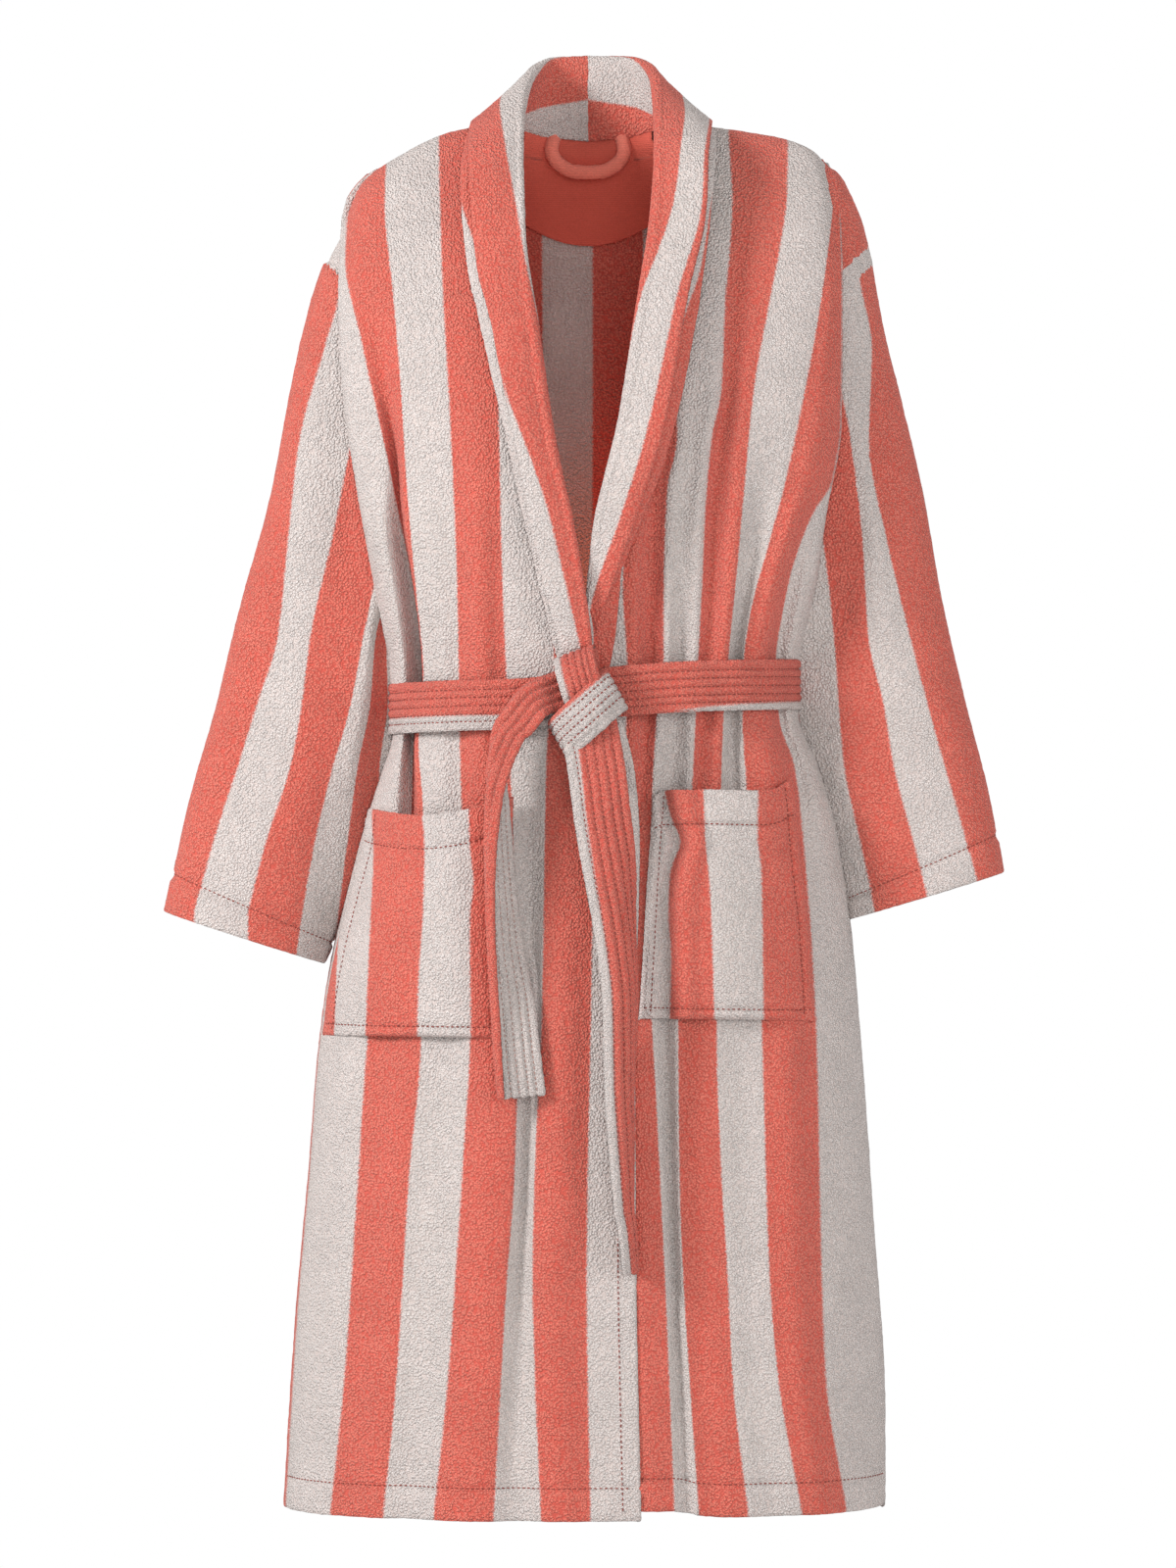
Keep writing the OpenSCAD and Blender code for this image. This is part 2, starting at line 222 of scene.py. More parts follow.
# ---- meshes ----
def mesh_object(name, verts, faces, material, **values):
    """A smooth mesh from points in millimetres, with one number a point for each value."""
    mesh = bpy.data.meshes.new(name)
    mesh.from_pydata((np.asarray(verts) * MM).tolist(), [], faces)
    for key, numbers in values.items():
        layer = mesh.attributes.new(key, "FLOAT", "POINT")
        layer.data.foreach_set("value", np.asarray(numbers, np.float32).ravel())
    mesh.polygons.foreach_set("use_smooth", [True] * len(mesh.polygons))
    mesh.validate()
    mesh.update()
    made = bpy.data.objects.new(name, mesh)
    bpy.context.scene.collection.objects.link(made)
    mesh.materials.append(material)
    return made


def joined(grid, more, last):
    return np.concatenate([grid, more] if last else [more, grid])


def rim(outer, inner, last):
    """Two more rows that round off a sheet past its first or last row."""
    k, step = (-1, -2) if last else (0, 1)
    middle, half = (outer[k] + inner[k]) / 2, (outer[k] - inner[k]) / 2
    away = unit(middle - (outer[step] + inner[step]) / 2)
    reach = np.linalg.norm(half, axis=-1, keepdims=True)
    turns = [math.radians(a) for a in ((45, 78) if last else (78, 45))]
    new_outer = np.stack([middle + half * math.cos(a) + away * reach * math.sin(a) for a in turns])
    new_inner = np.stack([middle - half * math.cos(a) + away * reach * math.sin(a) for a in turns])
    return joined(outer, new_outer, last), joined(inner, new_inner, last)


def edged(outer, inner, stripe, lining):
    """A sheet's two surfaces and their S, with its first and last rows rounded off."""
    for last in (False, True):
        outer, inner = rim(outer, inner, last)
        end = slice(-1, None) if last else slice(0, 1)
        stripe = joined(stripe, np.repeat(stripe[end], 2, axis=0), last)
        lining = joined(lining, np.repeat(lining[end], 2, axis=0), last)
    return outer, inner, stripe, lining


def across_first(grid):
    return np.swapaxes(grid, 0, 1)


SKIN = {}      # the outer points of each sheet, by its name, where the stitches are laid


def volume(verts, faces):
    """Signed volume of a closed mesh of quads."""
    a, b, c, d = (verts[faces[:, k]] for k in range(4))
    return (np.sum(a * np.cross(b, c)) + np.sum(a * np.cross(c, d))) / 6


def sheet(name, outer, inner, stripe, material, closed=False, lining=None):
    """A closed sheet of cloth between two grids of points, its open edges rounded.

    closed says that the columns run right round and meet. lining is S on the inner side.
    """
    SKIN[name] = outer
    layers = edged(outer, inner, stripe, stripe if lining is None else lining)
    if not closed:
        layers = map(across_first, edged(*map(across_first, layers)))
    outer, inner, stripe, lining = layers
    rows, cols = outer.shape[:2]
    index = np.arange(rows * cols).reshape(rows, cols)
    if closed:
        index = np.concatenate([index, index[:, :1]], axis=1)
    a, b, c, d = index[:-1, :-1], index[:-1, 1:], index[1:, 1:], index[1:, :-1]
    skin = np.stack([a, d, c, b], axis=-1).reshape(-1, 4)
    back_skin = skin[:, ::-1] + rows * cols

    def strip(line, turn):
        far = line + rows * cols
        quads = np.stack([line[:-1], line[1:], far[1:], far[:-1]], axis=-1)
        return quads[:, ::-1] if turn else quads

    sides = [strip(index[0], True), strip(index[-1], False)]
    if not closed:
        sides += [strip(index[:, 0], False), strip(index[:, -1], True)]
    faces = np.concatenate([skin, back_skin, *sides])
    verts = np.concatenate([outer.reshape(-1, 3), inner.reshape(-1, 3)])
    if volume(verts, faces) < 0:
        faces = faces[:, ::-1]
    both = np.concatenate([stripe.ravel(), lining.ravel()])
    return mesh_object(name, verts, faces.tolist(), material, stripe=both)


# ---- materials ----
CORAL = (0.84, 0.222, 0.160, 1)
# painted shade: the coral of the hollows between the terry loops
CORAL_PAINTED_SHADE = (0.56, 0.09, 0.064, 1)
WHITE = (0.74, 0.685, 0.66, 1)
# painted shade: the white of the hollows between the terry loops
WHITE_PAINTED_SHADE = (0.56, 0.48, 0.45, 1)
FACING = (0.64, 0.115, 0.078, 1)
# thread colour, darker than the cloth: partly the thread itself, partly painted shade of the pressed-in
# rows of stitches
THREAD_AND_PAINTED_SHADE = (0.32, 0.06, 0.042, 1)
PALE = (0.50, 0.30, 0.26, 1)


class Nodes:
    """A short way to write the node tree of a material or a world."""

    def __init__(self, owner):
        owner.use_nodes = True
        self.owner, self.tree = owner, owner.node_tree

    def fill(self, node, values):
        """Sets a node's inputs, or links them where the value is another node's socket."""
        for key, value in dict(values).items():
            if isinstance(value, bpy.types.NodeSocket):
                self.tree.links.new(value, node.inputs[key])
            else:
                node.inputs[key].default_value = value
        return node

    def node(self, kind, values=(), **settings):
        made = self.tree.nodes.new("ShaderNode" + kind)
        for key, value in settings.items():
            setattr(made, key, value)
        return self.fill(made, values)

    def camera_sees(self, plain, lit, output):
        """The camera sees plain, and the rest of the scene is lit by lit."""
        ray = self.node("LightPath").outputs["Is Camera Ray"]
        both = self.node("MixShader", {0: ray, 1: lit.outputs[0], 2: plain.outputs[0]})
        self.fill(self.tree.nodes[output], {"Surface": both.outputs[0]})

    def math(self, operation, a, b=0.0):
        return self.node("Math", {0: a, 1: b}, operation=operation).outputs[0]

    def attribute(self, name):
        return self.node("Attribute", attribute_name=name).outputs["Fac"]

    def noise(self, where, scale, detail=2.0):
        made = self.node("TexNoise", {"Vector": where, "Scale": scale, "Detail": detail})
        return made.outputs["Fac"]

    def ramp(self, value, lo, hi, to_lo, to_hi):
        made = self.node("MapRange", {
            "Value": value, "From Min": lo, "From Max": hi, "To Min": to_lo, "To Max": to_hi,
        })
        return made.outputs["Result"]

    def mix(self, share, a, b, blend="MIX"):
        made = self.node("Mix", {0: share, 6: a, 7: b}, data_type="RGBA", blend_type=blend)
        return made.outputs[2]

    def times(self, colour, shade):
        """A colour made lighter or darker by a number."""
        grey = self.node("CombineColor", {0: shade, 1: shade, 2: shade}).outputs[0]
        return self.mix(1.0, colour, grey, "MULTIPLY")

    def cloth(self, colour, height, distance):
        """Joins a colour and a relief to a dull shader with a little sheen."""
        relief = self.node("Bump", {"Height": height, "Distance": distance, "Strength": 1.0})
        self.fill(self.tree.nodes["Principled BSDF"], {
            "Base Color": colour, "Normal": relief.outputs["Normal"], "Roughness": 0.95,
            "Specular IOR Level": 0.15, "Sheen Weight": 0.12, "Sheen Roughness": 0.6,
        })
        return self.owner


def terry(name, loop=2.1):
    """Looped terry: coral and white stripes with fuzzy borders, and a pile of small loops with painted
    shade between them.
    """
    n = Nodes(bpy.data.materials.new(name))
    where = n.node("TexCoord").outputs["Object"]
    per_loop = 1 / (loop * MM)
    fuzz = n.noise(where, per_loop * 1.6)
    s = n.math("ADD", n.attribute("stripe"), n.ramp(fuzz, 0.3, 0.7, -0.022, 0.022))
    wave = n.math("SINE", n.math("MULTIPLY", s, math.pi))
    share = n.ramp(wave, -0.07, 0.07, 0.0, 1.0)
    loops = n.node("TexVoronoi", {"Vector": where, "Scale": per_loop, "Randomness": 0.9})
    loop_top = n.ramp(loops.outputs["Distance"], 0.05, 0.75, 1.0, 0.0)
    ragged = n.noise(where, per_loop * 2.2)
    height = n.math("ADD", loop_top, n.math("MULTIPLY", ragged, 0.5))
    # painted light and shade: by the pile's height, loop tops get the lit colours and the hollows between
    # loops the darker ones
    pile_painted_light = n.ramp(height, 0.3, 1.15, 0.0, 1.0)
    colour = n.mix(
        share, n.mix(pile_painted_light, WHITE_PAINTED_SHADE, WHITE), n.mix(pile_painted_light, CORAL_PAINTED_SHADE, CORAL)
    )
    worn = n.ramp(n.noise(where, 28.0, 3.0), 0.3, 0.7, 0.95, 1.04)
    return n.cloth(n.times(colour, worn), height, 2.2 * MM)


def knit(name, base, rib=1.6):
    """A flat close knit: fine ribs, rib millimetres apart, with a small stitch along them."""
    n = Nodes(bpy.data.materials.new(name))
    where = n.node("TexCoord").outputs["Object"]
    ribs = n.node("TexWave", {
        "Vector": where, "Scale": 1 / (rib * MM) / 20 * 6.2832, "Distortion": 5.0, "Detail": 3.0,
        "Detail Scale": 4.0,
    }, bands_direction="Z")
    fine = n.noise(where, 700.0)
    height = n.math("ADD", n.math("MULTIPLY", ribs.outputs["Fac"], 0.6), fine)
    shade = n.ramp(height, 0.2, 1.4, 0.82, 1.1)
    return n.cloth(n.times(base, shade), height, 0.5 * MM)


TERRY = terry("terry")
BELT_TERRY = terry("belt_terry", loop=1.8)
FACING_KNIT = knit("facing_knit", FACING)
LOOP_CORD = knit("loop_cord", CORAL, rib=2.2)
# painted shade: this dark thread also stands for the shade in the pressed-in stitch rows
CORAL_THREAD_AND_PAINTED_SHADE = knit("coral_thread_and_painted_shade", THREAD_AND_PAINTED_SHADE, rib=0.8)
PALE_THREAD = knit("pale_thread", PALE, rib=0.8)


# ---- camera ----
LENS = 150.0
SENSOR = 36.0
FRAME_H = 1.312        # height of the frame at the robe's front
VIEW_Y = -0.13
VIEW_Z = -0.54
camera = bpy.data.objects.new("camera", bpy.data.cameras.new("camera"))
bpy.context.scene.collection.objects.link(camera)
camera.data.lens = LENS
camera.data.sensor_width = SENSOR
camera.location = (0, VIEW_Y - FRAME_H * LENS / SENSOR, VIEW_Z)
camera.rotation_euler = (math.pi / 2, 0, 0)
camera.data.clip_end = 60
bpy.context.scene.camera = camera


# ---- panels ----
def between(z, first, lines, last):
    """Where the stripe borders lie at heights z, as x and S: a row for each height.

    first and last are the panel's own edges, as their x and S. Borders that fall past an edge
    are pressed against it.
    """
    xs = [first[0](z)] + [line(z) for _, line in lines] + [last[0](z)]
    ss = [first[1](z)] + [np.full_like(z, level) for level, _ in lines] + [last[1](z)]
    x, s = np.stack(xs, axis=-1), np.stack(ss, axis=-1)
    end = x.shape[-1] - 1
    for k in range(1, end):
        x[..., k] = np.maximum(x[..., k], x[..., k - 1] + 1.2)
    for k in range(end - 1, 0, -1):
        x[..., k] = np.minimum(x[..., k], x[..., k + 1] - 1.2)
    return x, s


def front_grid(lines_at, hem, columns, rows=340):
    """x, z and S over a front. columns says how many cells lie in each gap between borders."""
    picks = [(k, f / n) for k, n in enumerate(columns) for f in range(n)]
    picks.append((len(columns) - 1, 1.0))
    v = np.linspace(0, 1, rows) ** 1.2
    x, z, s = (np.empty((rows, len(picks))) for _ in range(3))
    high = lines_at(np.array([-10.0]))[0][0]
    for j, (k, f) in enumerate(picks):
        top_x = lerp(high[k], high[k + 1], f)
        z[:, j] = lerp(TOP_Z(top_x), hem(top_x), v)
        xs, ss = lines_at(z[:, j])
        x[:, j] = lerp(xs[:, k], xs[:, k + 1], f)
        s[:, j] = lerp(ss[:, k], ss[:, k + 1], f)
    return x, z, s


def fold_height(s, z, folds):
    """Folds along the stripes: each has its middle S and half width, and heights at some z."""
    total = np.zeros_like(s)
    for middle, wide, heights in folds:
        where = middle(z) if callable(middle) else middle
        total += curve(heights)(z) * bump((s - where) / wide)
    return total


def hem_relief(z, hem, wide=25.0):
    """A turned hem: thicker cloth below a pressed-in row of stitches."""
    up = z - hem
    return 1.2 * ease((wide - up) / 4) - 1.8 * bump((up - wide) / 3.5)


def cloth_panel(name, grid, s, thickness=CLOTH_T, facing_back=False):
    """A sheet from the grid of its outer surface, which faces -Y unless facing_back."""
    n = normals(grid) * (-1 if facing_back else 1)
    outer = grid + n * pile(s.shape)[..., None]
    inner = grid - n * (thickness + pile(s.shape)[..., None])
    return sheet(name, outer, inner, s, TERRY)


def front(name, first, lines, last, folds, columns, hem):
    """A front panel; hem gives the height of its lower edge at each x."""
    x, z, s = front_grid(lambda zz: between(zz, first, lines, last), hem, columns)
    hang = fold_height(s, z, folds) + hem_relief(z, hem(x[0])[None, :])
    y = front_y(x, z, name.startswith("right")) - hang
    return cloth_panel(name, xyz(x, y, z), s)


RIGHT_FRONT_BORDERS = borders({
    2: {
        -53: -203, -97: -204, -171: -189, -294: -162, -417: -141, -450: -139, -500: -147, -565: -148,
        -753: -184, -868: -192, -1032: -203, -1146: -215,
    },
    3: {
        -23: -171, -48: -171, -130: -163, -212: -156, -294: -151, -376: -144, -449: -138, -507: -142,
        -564: -138, -753: -139, -868: -149, -950: -154, -1032: -159, -1146: -170,
    },
    4: {
        0: -126, -130: -121, -212: -116, -376: -109, -507: -107, -753: -98, -827: -102, -950: -110,
        -1032: -116, -1146: -128,
    },
    5: {
        0: -84, -130: -80, -212: -75, -376: -71, -449: -68, -600: -62, -753: -58, -868: -61, -950: -67,
        -1146: -78,
    },
    6: {0: -45, -300: -33, -449: -28, -507: -34, -753: -39, -827: -43, -950: -46, -1032: -44, -1146: -39},
    7: {0: 0, -449: 10, -507: 7, -753: 2, -950: -1, -1146: 2},
})
RIGHT_SIDE_S = curve({-53: 2, -130: 1.7, -212: 1.4, -300: 1.15, -455: 1.02, -590: 1.0, -1146: 0.93})
OVER_EDGE = curve({
    -1150: 42, -950: 38, -750: 37, -590: 41, -540: 38, -467: 20, -430: 2, -200: -46, 16: -80,
})
OVER_EDGE_S = curve({-1150: 7.9, -590: 7.8, -467: 7.2, -430: 6.6, -200: 5.66, 0: 5.14})
RIGHT_FRONT_FOLDS = [
    # the deep crease beside the side drape, gathered in by the belt
    (curve({-100: 2.5, -250: 2.45, -350: 2.0, -455: 1.95, -560: 2.1, -700: 2.3}), 0.5,
     {-110: 0, -200: -7, -300: -16, -400: -24, -455: -29, -560: -22, -680: -9, -800: -3, -1140: -2}),
    (1.45, 0.55, {-120: 0, -250: 4, -400: 7, -467: 2, -540: 6, -700: 3, -900: 0}),
    # the soft fold that hides half of a white stripe below the belt
    (5.5, 0.62, {-480: 0, -600: -8, -750: -10, -900: -9, -1030: -7, -1146: -5}),
    (6.4, 0.7, {-560: 0, -700: 5, -900: 7, -1146: 4}),
    (4.5, 0.9, {-560: 0, -800: 4, -1146: 5}),
    (3.4, 0.6, {-560: 0, -780: -3, -1000: -5, -1146: -6}),
    (4.0, 0.5, {-200: 0, -380: -3, -455: -6, -520: -5, -640: 0}),
    (4.9, 0.45, {-250: 0, -400: -3, -455: -6, -520: -5, -620: 0}),
    (4.5, 0.5, {-200: 0, -380: 3, -467: 1, -640: 0}),
]


def right_hem(x):
    return HEM_Z + 2 + 0 * x


LEFT_FRONT_BORDERS = borders({
    0: {0: 33, -200: 40, -376: 29, -449: 33, -700: 20, -1146: 27},
    1: {
        0: 76, -130: 72, -253: 74, -294: 66, -376: 63, -437: 63, -486: 57, -559: 53, -671: 51, -827: 58,
        -950: 64, -1146: 72,
    },
    2: {
        0: 119, -48: 121, -89: 119, -130: 115, -212: 111, -253: 103, -307: 98, -376: 95, -437: 92,
        -523: 88, -753: 75, -868: 76, -950: 79, -1032: 84, -1146: 92,
    },
    3: {
        0: 169, -48: 167, -89: 161, -130: 153, -212: 138, -294: 130, -363: 124, -437: 117, -486: 113,
        -540: 111, -753: 107, -868: 111, -950: 116, -1032: 120, -1146: 133,
    },
    4: {
        -15: 211, -89: 202, -171: 189, -212: 181, -294: 163, -335: 152, -400: 135, -437: 130, -486: 129,
        -540: 132, -753: 145, -868: 148, -950: 151, -1032: 158, -1146: 178,
    },
    5: {
        -253: 216, -294: 201, -312: 189, -363: 170, -392: 164, -437: 158, -486: 161, -523: 173, -560: 178,
        -753: 191, -950: 195, -1032: 198, -1146: 216,
    },
})
LEFT_SIDE_S = curve({-290: 5.0, -340: 5.5, -435: 5.9, -560: 5.95, -1146: 5.95})
UNDER_EDGE = curve({-1150: -36, -560: -30, -430: -4, -200: 46, 16: 80})
UNDER_EDGE_S = curve({-1150: -1.4, -560: -1.1, -430: -0.8, -200: 0.1, 0: 1.1})
LEFT_FRONT_FOLDS = [
    (1.5, 0.5, {-180: 0, -376: -8, -437: -11, -560: -11, -753: -11, -950: -10, -1146: -7}),
    (2.25, 0.5, {-60: 0, -200: -8, -330: -11, -437: -7, -600: -5, -800: -3, -1146: -4}),
    (2.85, 0.4, {-200: 0, -376: 3, -450: 3, -600: 2, -800: 0}),
    (3.5, 0.55, {-250: 0, -330: -5, -400: -10, -437: -12, -540: -11, -640: -5, -800: -2, -1146: -3}),
    (4.5, 0.5, {-60: 0, -200: 2, -330: 5, -437: 4, -467: 0, -520: 4, -600: 3, -1146: 3}),
    (5.05, 0.4, {-280: 0, -340: -6, -437: -12, -520: -9, -620: -3, -800: 0}),
    (5.6, 0.4, {-330: 0, -400: 3, -467: 0, -560: 3, -700: 0}),
    (0.5, 0.6, {-560: 0, -800: 5, -1146: 4}),
    (0.7, 0.5, {-150: 0, -300: -8, -437: -12, -520: -7, -580: 0}),
]


def left_hem(x):
    return HEM_Z + 4 + 7 * ease((150 - x) / 100)


def back():
    """The back panel; its stripes and folds are a guess, since the photo is a front view."""
    u, v = steps(131), steps(300).T ** 1.2
    spread = (1 - np.cos(u * math.pi)) / 2 * 0.4 + u * 0.6
    top_x = lerp(SIDE_RIGHT(-10.0), SIDE_LEFT(-10.0), spread)
    z = lerp(TOP_Z(top_x) - BACK_DROP, HEM_Z, v)
    right, left = SIDE_RIGHT(z), SIDE_LEFT(z)
    x = lerp(right, left, spread)
    gather = curve({0: 1.0, -300: 1.05, -467: 1.22, -640: 1.05, -900: 0.97, -1150: 0.94})
    s = (x - 4) * gather(z) / STRIPE + 6
    folds = [
        (m, 0.55, {
            -250: 0, -380: a * 0.6, -467: a, -600: a * 0.7, -900: a * 0.35, -1150: a * 0.3,
        })
        for m, a in ((2.4, -9), (3.6, 5), (4.6, -8), (5.9, 4), (6.9, -9), (8.1, 5), (9.3, -10))
    ]
    hang = fold_height(s, z, folds) * ease(np.minimum(x - right, left - x) / 30)
    y = SIDE_Y + depth_at(x, z, True) + hang + hem_relief(z, HEM_Z)
    return cloth_panel("back_cloth", xyz(x, y, z), s, facing_back=True)


def facing():
    """The plain knitted facing inside the back of the neck."""
    half, drop, gap = 60.0, 74.0, 4.2
    x = np.linspace(half, -half, 60)[None, :]
    z = lerp(TOP_Z(x) + 10, -drop + 22 * (x / half) ** 2, steps(44).T)
    grid = xyz(x, SIDE_Y + depth_at(x, z, True), z)
    n = normals(grid)
    outer = grid - n * (CLOTH_T + gap)
    inner = outer - n * 2.0
    return sheet("neck_facing", inner, outer, z * 0 + 0.5, FACING_KNIT)


# ---- sleeves ----
# Outer and inner line of each sleeve as (x, z), from the armhole to the cuff, x outward.
RIGHT_SLEEVE_LINES = (
    [(176, -24), (189, -38), (203, -64), (221, -98), (235, -140), (252, -212), (269, -294),
     (290, -376), (300, -417), (314, -474), (338, -556), (358, -646)],
    [(150, -336), (154, -380), (156, -450), (162, -510), (178, -580), (202, -640), (223, -690)],
)
LEFT_SLEEVE_LINES = (
    [(185, -7), (198, -15), (210, -22), (222, -42), (231, -64), (238, -90), (250, -150),
     (267, -212), (287, -294), (302, -376), (310, -417), (322, -474), (341, -556), (351, -613)],
    [(150, -336), (158, -380), (165, -450), (176, -510), (194, -570), (209, -620), (220, -653)],
)
SEAM_AT = (224, -98)     # where the shoulder's slanting seam crosses the sleeve's outer part
SLEEVE_LONG = 610


def sleeve(name, side, path, lines):
    """A sleeve as rings from the armhole to the cuff; side is -1 for the wearer's right."""
    rows, cols = 190, 150
    t = steps(rows).T
    o, i = (spline(line, rows)[:, None, :] for line in path)
    a = angles(cols)
    c = np.cos(a)
    x = (o[..., 0] + i[..., 0]) / 2 + (o[..., 0] - i[..., 0]) / 2 * c
    z = (o[..., 1] + i[..., 1]) / 2 + (o[..., 1] - i[..., 1]) / 2 * c
    deep = lerp(49.0, 41.0, ease(t * 3))
    tuck = 1 - 0.35 * ((1 - c) / 2) ** 2 * ease((t - 0.2) * 4)
    y = SIDE_Y + deep * tuck * np.sign(np.sin(a)) * np.abs(np.sin(a)) ** 0.8

    # the back's stripes run on from the fold at the sleeve's outer edge
    fold_s = stripe_at(side * o[..., 0] + 0 * a, o[..., 1] + 0 * a, lines)
    ring = xyz(x, y, z)
    step = np.linalg.norm(np.diff(ring, axis=1, prepend=ring[:, :1]), axis=-1)
    past_fold = np.cumsum(step, axis=1)
    plain = np.polyval(np.polyfit(t[50:, 0], fold_s[50:, 0], 1), t)
    back_s = lerp(fold_s, plain, ease(past_fold / 35)) + side * past_fold / STRIPE
    s = np.where(np.sin(a) > 0, back_s, stripe_at(side * x, z, lines))

    # the cloth beyond the shoulder's slanting seam is of one colour
    past_seam = 0.67 * (x - SEAM_AT[0]) - 0.74 * (z - SEAM_AT[1])
    for reach, colour in ((0, -0.5),) if side < 0 else ((13, 3.5), (0, 4.5)):
        s = np.where((past_seam < reach) & (t < 0.3), colour, s)

    along = t * SLEEVE_LONG
    hang = 3.0 * np.sin(s * 1.9 + along / 170) + 2.2 * np.sin(s * 3.1 - along / 90)
    hang = hang * np.sin(math.pi * t) ** 0.7 * 0.8
    hem = 1.2 * ease((along - 584) / 4) - 1.8 * bump((along - 582) / 3.5)
    grid = ring * np.array([side, 1, 1])
    n = normals(grid, closed=True) * side
    outer = grid + n * (hang + hem + pile(s.shape))[..., None]
    inner = grid + n * (hang + hem - 4.0)[..., None]
    return sheet(name, outer, inner, s, TERRY, closed=True)


RIGHT_SLEEVE_BORDERS = borders({
    0: {-60: -262, -335: -297, -622: -370},
    1: {
        -60: -205, -130: -209, -171: -220, -253: -243, -335: -253, -417: -262, -474: -280, -523: -295,
        -589: -316, -646: -331,
    },
    2: {-60: -160, -253: -200, -335: -216, -417: -234, -474: -241, -523: -250, -589: -271, -646: -286},
    3: {-60: -120, -335: -172, -417: -189, -474: -200, -523: -214, -589: -230, -680: -246},
    4: {-60: -80, -335: -150, -417: -179, -474: -184, -523: -194, -589: -203, -690: -215},
})
LEFT_SLEEVE_BORDERS = borders({
    1: {-60: 120, -335: 150, -474: 176, -650: 190},
    2: {-60: 150, -253: 182, -335: 198, -417: 207, -523: 216, -589: 230, -650: 243},
    3: {-60: 190, -171: 205, -253: 221, -335: 231, -417: 236, -474: 249, -523: 257, -589: 274, -640: 287},
    4: {
        -60: 226, -110: 228, -171: 239, -253: 236, -335: 251, -417: 271, -474: 286, -523: 300, -589: 319,
        -640: 332,
    },
    5: {-60: 272, -253: 283, -474: 330, -640: 378},
})


# ---- collar ----
# Stations run along a half from the middle of the back to the crossing, 0 to 9: first the three
# of the neck as (x, y, z), then those on the front as (x, z). The curves below are by station.
LAYER = 6.2            # how far the under layer lies below the upper one
NECK_SEAM = [(0, -14, 11), (42, -23, 15), (69, -60, 22)]
NECK_ROLL = {
    -1: [(0, -10, 84), (28, -18, 81), (43, -52, 61)],
    1: [(0, -10, 84), (33, -18, 82), (50, -52, 62)],
}
NECK_EDGE = {
    -1: [(0, 13, -12), (60, 3, -12), (106, -62, 16)],
    1: [(0, 13, -12), (60, 3, -12), (112, -62, 17)],
}
FRONT_SEAM = [(74, -16), (68, -80), (56, -160), (42, -250), (28, -340), (20, -422), (12, -458)]
PUFF = curve({0: 4, 1: 2, 2: -1, 3: 5, 6: 8, 8: 3, 9: 1})
ROLL_R = curve({0: 8, 1: 6.5, 2: 5, 3: 6, 5: 7, 7: 5, 8: 4, 9: 2})
FLATTEN = (1, 1, 1, 1, 1, 0.9, 0.25)     # share of the collar's height off the front, by station
COLLARS = {
    "right": {
        "side": -1,
        "roll": [(53, -4), (51, -72), (38, -160), (25, -250), (8, -335), (-4, -417), (-6, -458)],
        "edge": [(107, -30), (101, -112), (91, -165), (71, -253), (52, -335), (31, -420), (20, -462)],
        "upper": (2.0, {0: 44, 2: 34, 3: 20, 4: 7, 5: -3, 6: -18, 7: -26, 9: -32}),
        "rim": {0: 14, 2: 0, 3: -6, 5: -3, 5.6: 0, 6: 6, 7: 17, 9: 15},
        "under": (1.0, {0: -12, 3: -10, 3.4: 0, 4: 13, 5: 20, 6: 24, 9: 26}),
        "sink": 0.0,
    },
    "left": {
        "side": 1,
        "roll": [(53, -4), (49, -60), (36, -150), (22, -240), (2, -330), (-4, -395), (-4, -440)],
        "edge": [(109, -10), (106, -66), (93, -150), (73, -248), (41, -335), (16, -400), (8, -440)],
        "upper": (1.0, {0: 44, 2: 34, 3: 26, 4: 19, 5: 3, 6: -6, 7: -12, 9: -18}),
        "rim": {0: 14, 2: 2, 4: 3, 5: 8, 6: 12, 7: 12, 9: 8},
        "under": (2.0, {0: -9, 3: -6, 4: 2, 4.6: 5, 5: 12, 6: 20, 9: 26}),
        "sink": 7.0,
    },
}
UNDER_SHOWS = curve({0: 5, 2: 9, 4: 13, 5: 17, 6: 15, 7: 9, 9: 6})


def on_front(points, side, off, sink):
    """Points of the collar that lie on a front: it stands off more towards the shoulder."""
    made = []
    for (x, z), flat in zip(points, FLATTEN):
        rise = 1.05 * off * min(max((z + 120) / 105, 0), 1)
        low = sink * float(ease((-z - 290) / 80))
        y = float(SIDE_Y - depth_at(np.array(x * side), z, False)) - LAP - off * flat - rise + low
        made.append((x, y, z))
    return made


def collar_lines(which, count):
    """The neck seam, the roll and the outer edge, each as count points from back to front."""
    side, sink = which["side"], which["sink"]
    seam = NECK_SEAM + on_front(FRONT_SEAM, side, 4, sink)
    roll = NECK_ROLL[side] + on_front(which["roll"], side, 13.0, sink)
    edge = NECK_EDGE[side] + on_front(which["edge"], side, 16.0, sink)
    stations = np.linspace(0, len(seam) - 1, count)
    lines = [
        np.stack([curve(dict(enumerate(along)))(stations) for along in zip(*path)], axis=1)
        for path in (seam, roll, edge)
    ]
    return stations[:, None], lines


